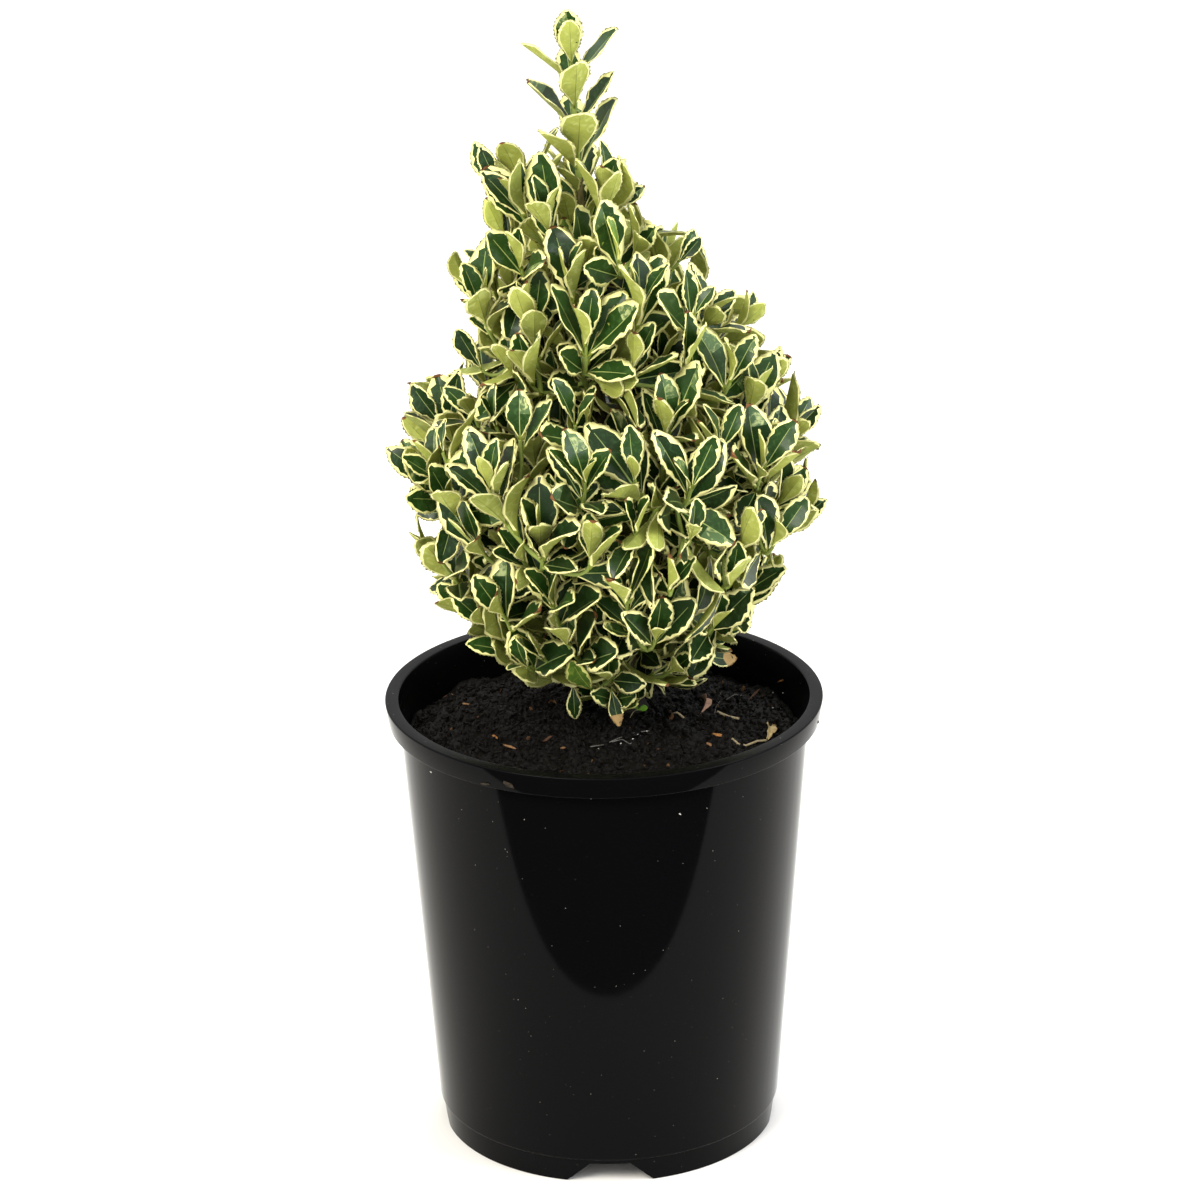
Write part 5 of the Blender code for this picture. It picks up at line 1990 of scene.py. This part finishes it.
# %% Chips, grit and mud
CHIPS = (
    # from pixel, to pixel, width in mm, finish
    ((441, 697), (447, 699), 1.2, "brown"),
    ((450, 699), (456, 698), 1.2, "tan"),
    ((462, 701), (469, 706), 1.8, "tan"),
    ((493, 737), (497, 739), 1.6, "orange"),
    ((504, 745), (516, 750), 1.6, "tan"),
    ((697, 715), (722, 717), 5.5, "brown"),
    ((671, 715), (685, 718), 2.0, "brown"),
    ((721, 717), (739, 719), 1.7, "tan"),
    ((713, 736), (721, 740), 3.4, "orange"),
    ((707, 744), (711, 750), 1.8, "tan"),
    ((749, 699), (761, 690), 1.6, "brown"),
    ((543, 741), (553, 737), 1.8, "brown"),
    ((560, 752), (566, 748), 1.4, "tan"),
    ((655, 751), (664, 747), 1.6, "brown"),
    ((474, 716), (484, 712), 1.7, "brown"),
    ((778, 682), (783, 680), 1.6, "orange"),
)
GRIT = ((772, 696), (779, 710), (772, 711), (782, 693), (632, 742), (637, 739), (620, 744), (646, 733), (598, 747), (500, 707))
MUD = (
    # from pixel, to pixel, width in mm, finish
    ((488, 771), (493, 773), 1.6, "orange"),
    ((496, 775), (507, 781), 2.0, "mud"),
    ((503, 780), (514, 789), 2.4, "mud"),
    ((480, 783), (490, 785), 1.2, "mud"),
    ((812, 716), (819, 724), 2.2, "mud"),
    ((430, 771), (432, 773), 0.8, "grit"),
    ((679, 813), (681, 815), 0.7, "grit"),
    ((497, 772), (503, 774), 1.0, "orange"),
)
litter_finishes = {
    "tan": composted("dry_bark_tan", "#6b4a34", "#a9845c", 1.5),
    "brown": composted("dry_bark_brown", "#34251c", "#6d4f3c", 1.5),
    "orange": composted("dry_bark_orange", "#7c4c27", "#bf8a52", 1.5),
    "mud": composted("dried_mud", "#1d1a15", "#453c30", 0.8),
    "grit": composted("white_grit", "#a3a29a", "#dcdad0", 0.6, 0.5),
}
dice = random.Random(31)
litter = {finish: bmesh.new() for finish in litter_finishes}
for start, end, width, finish in CHIPS:
    add_chip(litter[finish], on_mix(*start), on_mix(*end), width * MM, 0.9 * MM, UP, dice)
for pixel in GRIT:
    spot = on_mix(*pixel, 1.2 * MM)
    add_chip(litter["grit"], spot, spot + Vector((0.8 * MM, 0, 0)), 0.6 * MM, 0.6 * MM, UP, dice)
for start, end, width, finish in MUD:
    (spot, facing), (other, _) = on_wall(*start), on_wall(*end)
    add_chip(litter[finish], spot, other, width * MM, 0.35 * MM, facing, dice)
for finish, shape in litter.items():
    add_piece(f"litter_{finish}", mesh_from(shape, f"litter_{finish}"), "potting_mix", litter_finishes[finish])
print("chips, grit and mud:", len(CHIPS) + len(GRIT) + len(MUD))

# %% Dry stalks, fibres and leaves
STALKS = (
    # pixels along the stalk, radius in mm
    (((732, 741), (739, 744), (746, 745), (757, 744), (767, 742)), 0.55),
    (((717, 716), (728, 718), (739, 720)), 0.6),
    (((671, 716), (677, 717), (684, 718)), 0.5),
)
FIBRES = (
    (((590, 745), (604, 744), (617, 741), (636, 736), (649, 732)), 0.22),
    (((612, 745), (622, 742), (630, 743), (641, 738)), 0.16),
    (((714, 712), (716, 706), (720, 699), (721, 691)), 0.12),
    (((726, 700), (735, 697), (744, 697)), 0.12),
)
dry_leaf = composted("dry_leaf", "#a08659", "#cdbb8c", 2.5, 0.7)
curled_leaf = composted("curled_dead_leaf", "#7a5c48", "#b3917a", 2.5, 0.7)
dry_stalk = composted("dry_stalk", "#85765a", "#b3a583", 1.5, 0.8)
grey_fibre = composted("grey_fibre", "#4a4742", "#8d8a83", 1.0, 0.7)


def ground_line(name, pixels, radius, finish):
    """A thin stalk or fibre that lies along pixels of the mix."""
    line = [on_mix(*pixel, 1.1 * MM) for pixel in pixels]
    smooth_line = []
    for k in range(len(line) - 1):
        smooth_line += [line[k].lerp(line[k + 1], t / 4) for t in range(4)]
    smooth_line.append(line[-1])
    mesh = limb_mesh(name, smooth_line, [radius * MM] * len(smooth_line), 7, radius * 0.2 * MM)
    return add_piece(name, mesh, "potting_mix", finish)


for k, (pixels, radius) in enumerate(STALKS):
    ground_line(f"stalk_{k}", pixels, radius, dry_stalk)
for k, (pixels, radius) in enumerate(FIBRES):
    ground_line(f"fibre_{k}", pixels, radius, grey_fibre)


def loose_leaf(name, foot, end, face, width, curl, finish, slot):
    """A leaf that lies from one point to another, in one dry colour."""
    mesh = leaf_shape(name, "old", random.Random(len(name) + 50), FINE_ROWS, True, None, curl)
    along = (end - foot).normalized()
    face = (face - along * face.dot(along)).normalized()
    size = (end - foot).length / LEAF_LENGTH
    stance = Matrix((along * size, face.cross(along) * width, face * size)).transposed()
    mesh.transform(Matrix.Translation(foot) @ stance.to_4x4())
    mesh.attributes.remove(mesh.attributes["tissue"])
    return add_piece(name, mesh, slot, finish)


loose_leaf("dry_leaf_right", on_mix(765, 743), on_mix(779, 724, 5 * MM), Vector((0.6, -0.5, 0.6)), 0.3, 10, dry_leaf, "potting_mix")
loose_leaf("curled_leaf", on_mix(701, 712), on_mix(716, 697, 5 * MM), Vector((0.5, -0.8, 0.4)), 0.33, 50, curled_leaf, "potting_mix")

# %% [markdown]
# The seedling has a thread-like stalk and a pair of round seed leaves.

# %% Seedling
seedling_green = leaf_tissue("seedling_green", "#6a9a2e", 0.5)
root_end = on_mix(629, 718, 0)
crest = on_mix(638, 719) + Vector((0, 0, 5 * MM))
seedling_line = [root_end.lerp(crest, t / 8) + UP * 1.5 * MM * math.sin(math.pi * t / 8) for t in range(9)]
add_piece("seedling_stalk", limb_mesh("seedling_stalk", seedling_line, [0.22 * MM] * 9, 7, 0), "potting_mix", dry_stalk)
SEED_LEAVES = (
    # which way the leaf points, and which way it faces
    (Vector((1, 0.1, 0.25)), UP * 0.7 + TO_CAMERA),
    (Vector((-0.5, 0.7, 0.3)), UP),
)
for k, (away, face) in enumerate(SEED_LEAVES):
    end = crest + away.normalized() * 4.6 * MM
    loose_leaf(f"seed_leaf_{k}", crest - away * 0.2 * MM, end, face, 0.24, 0, seedling_green, "potting_mix")
print("seedling's height:", round(1000 * (crest.z - root_end.z), 1), "mm")

# %% [markdown]
# ## Sizes
#
# The box of the finished pieces is measured.

# %% Measure the sizes
low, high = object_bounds()
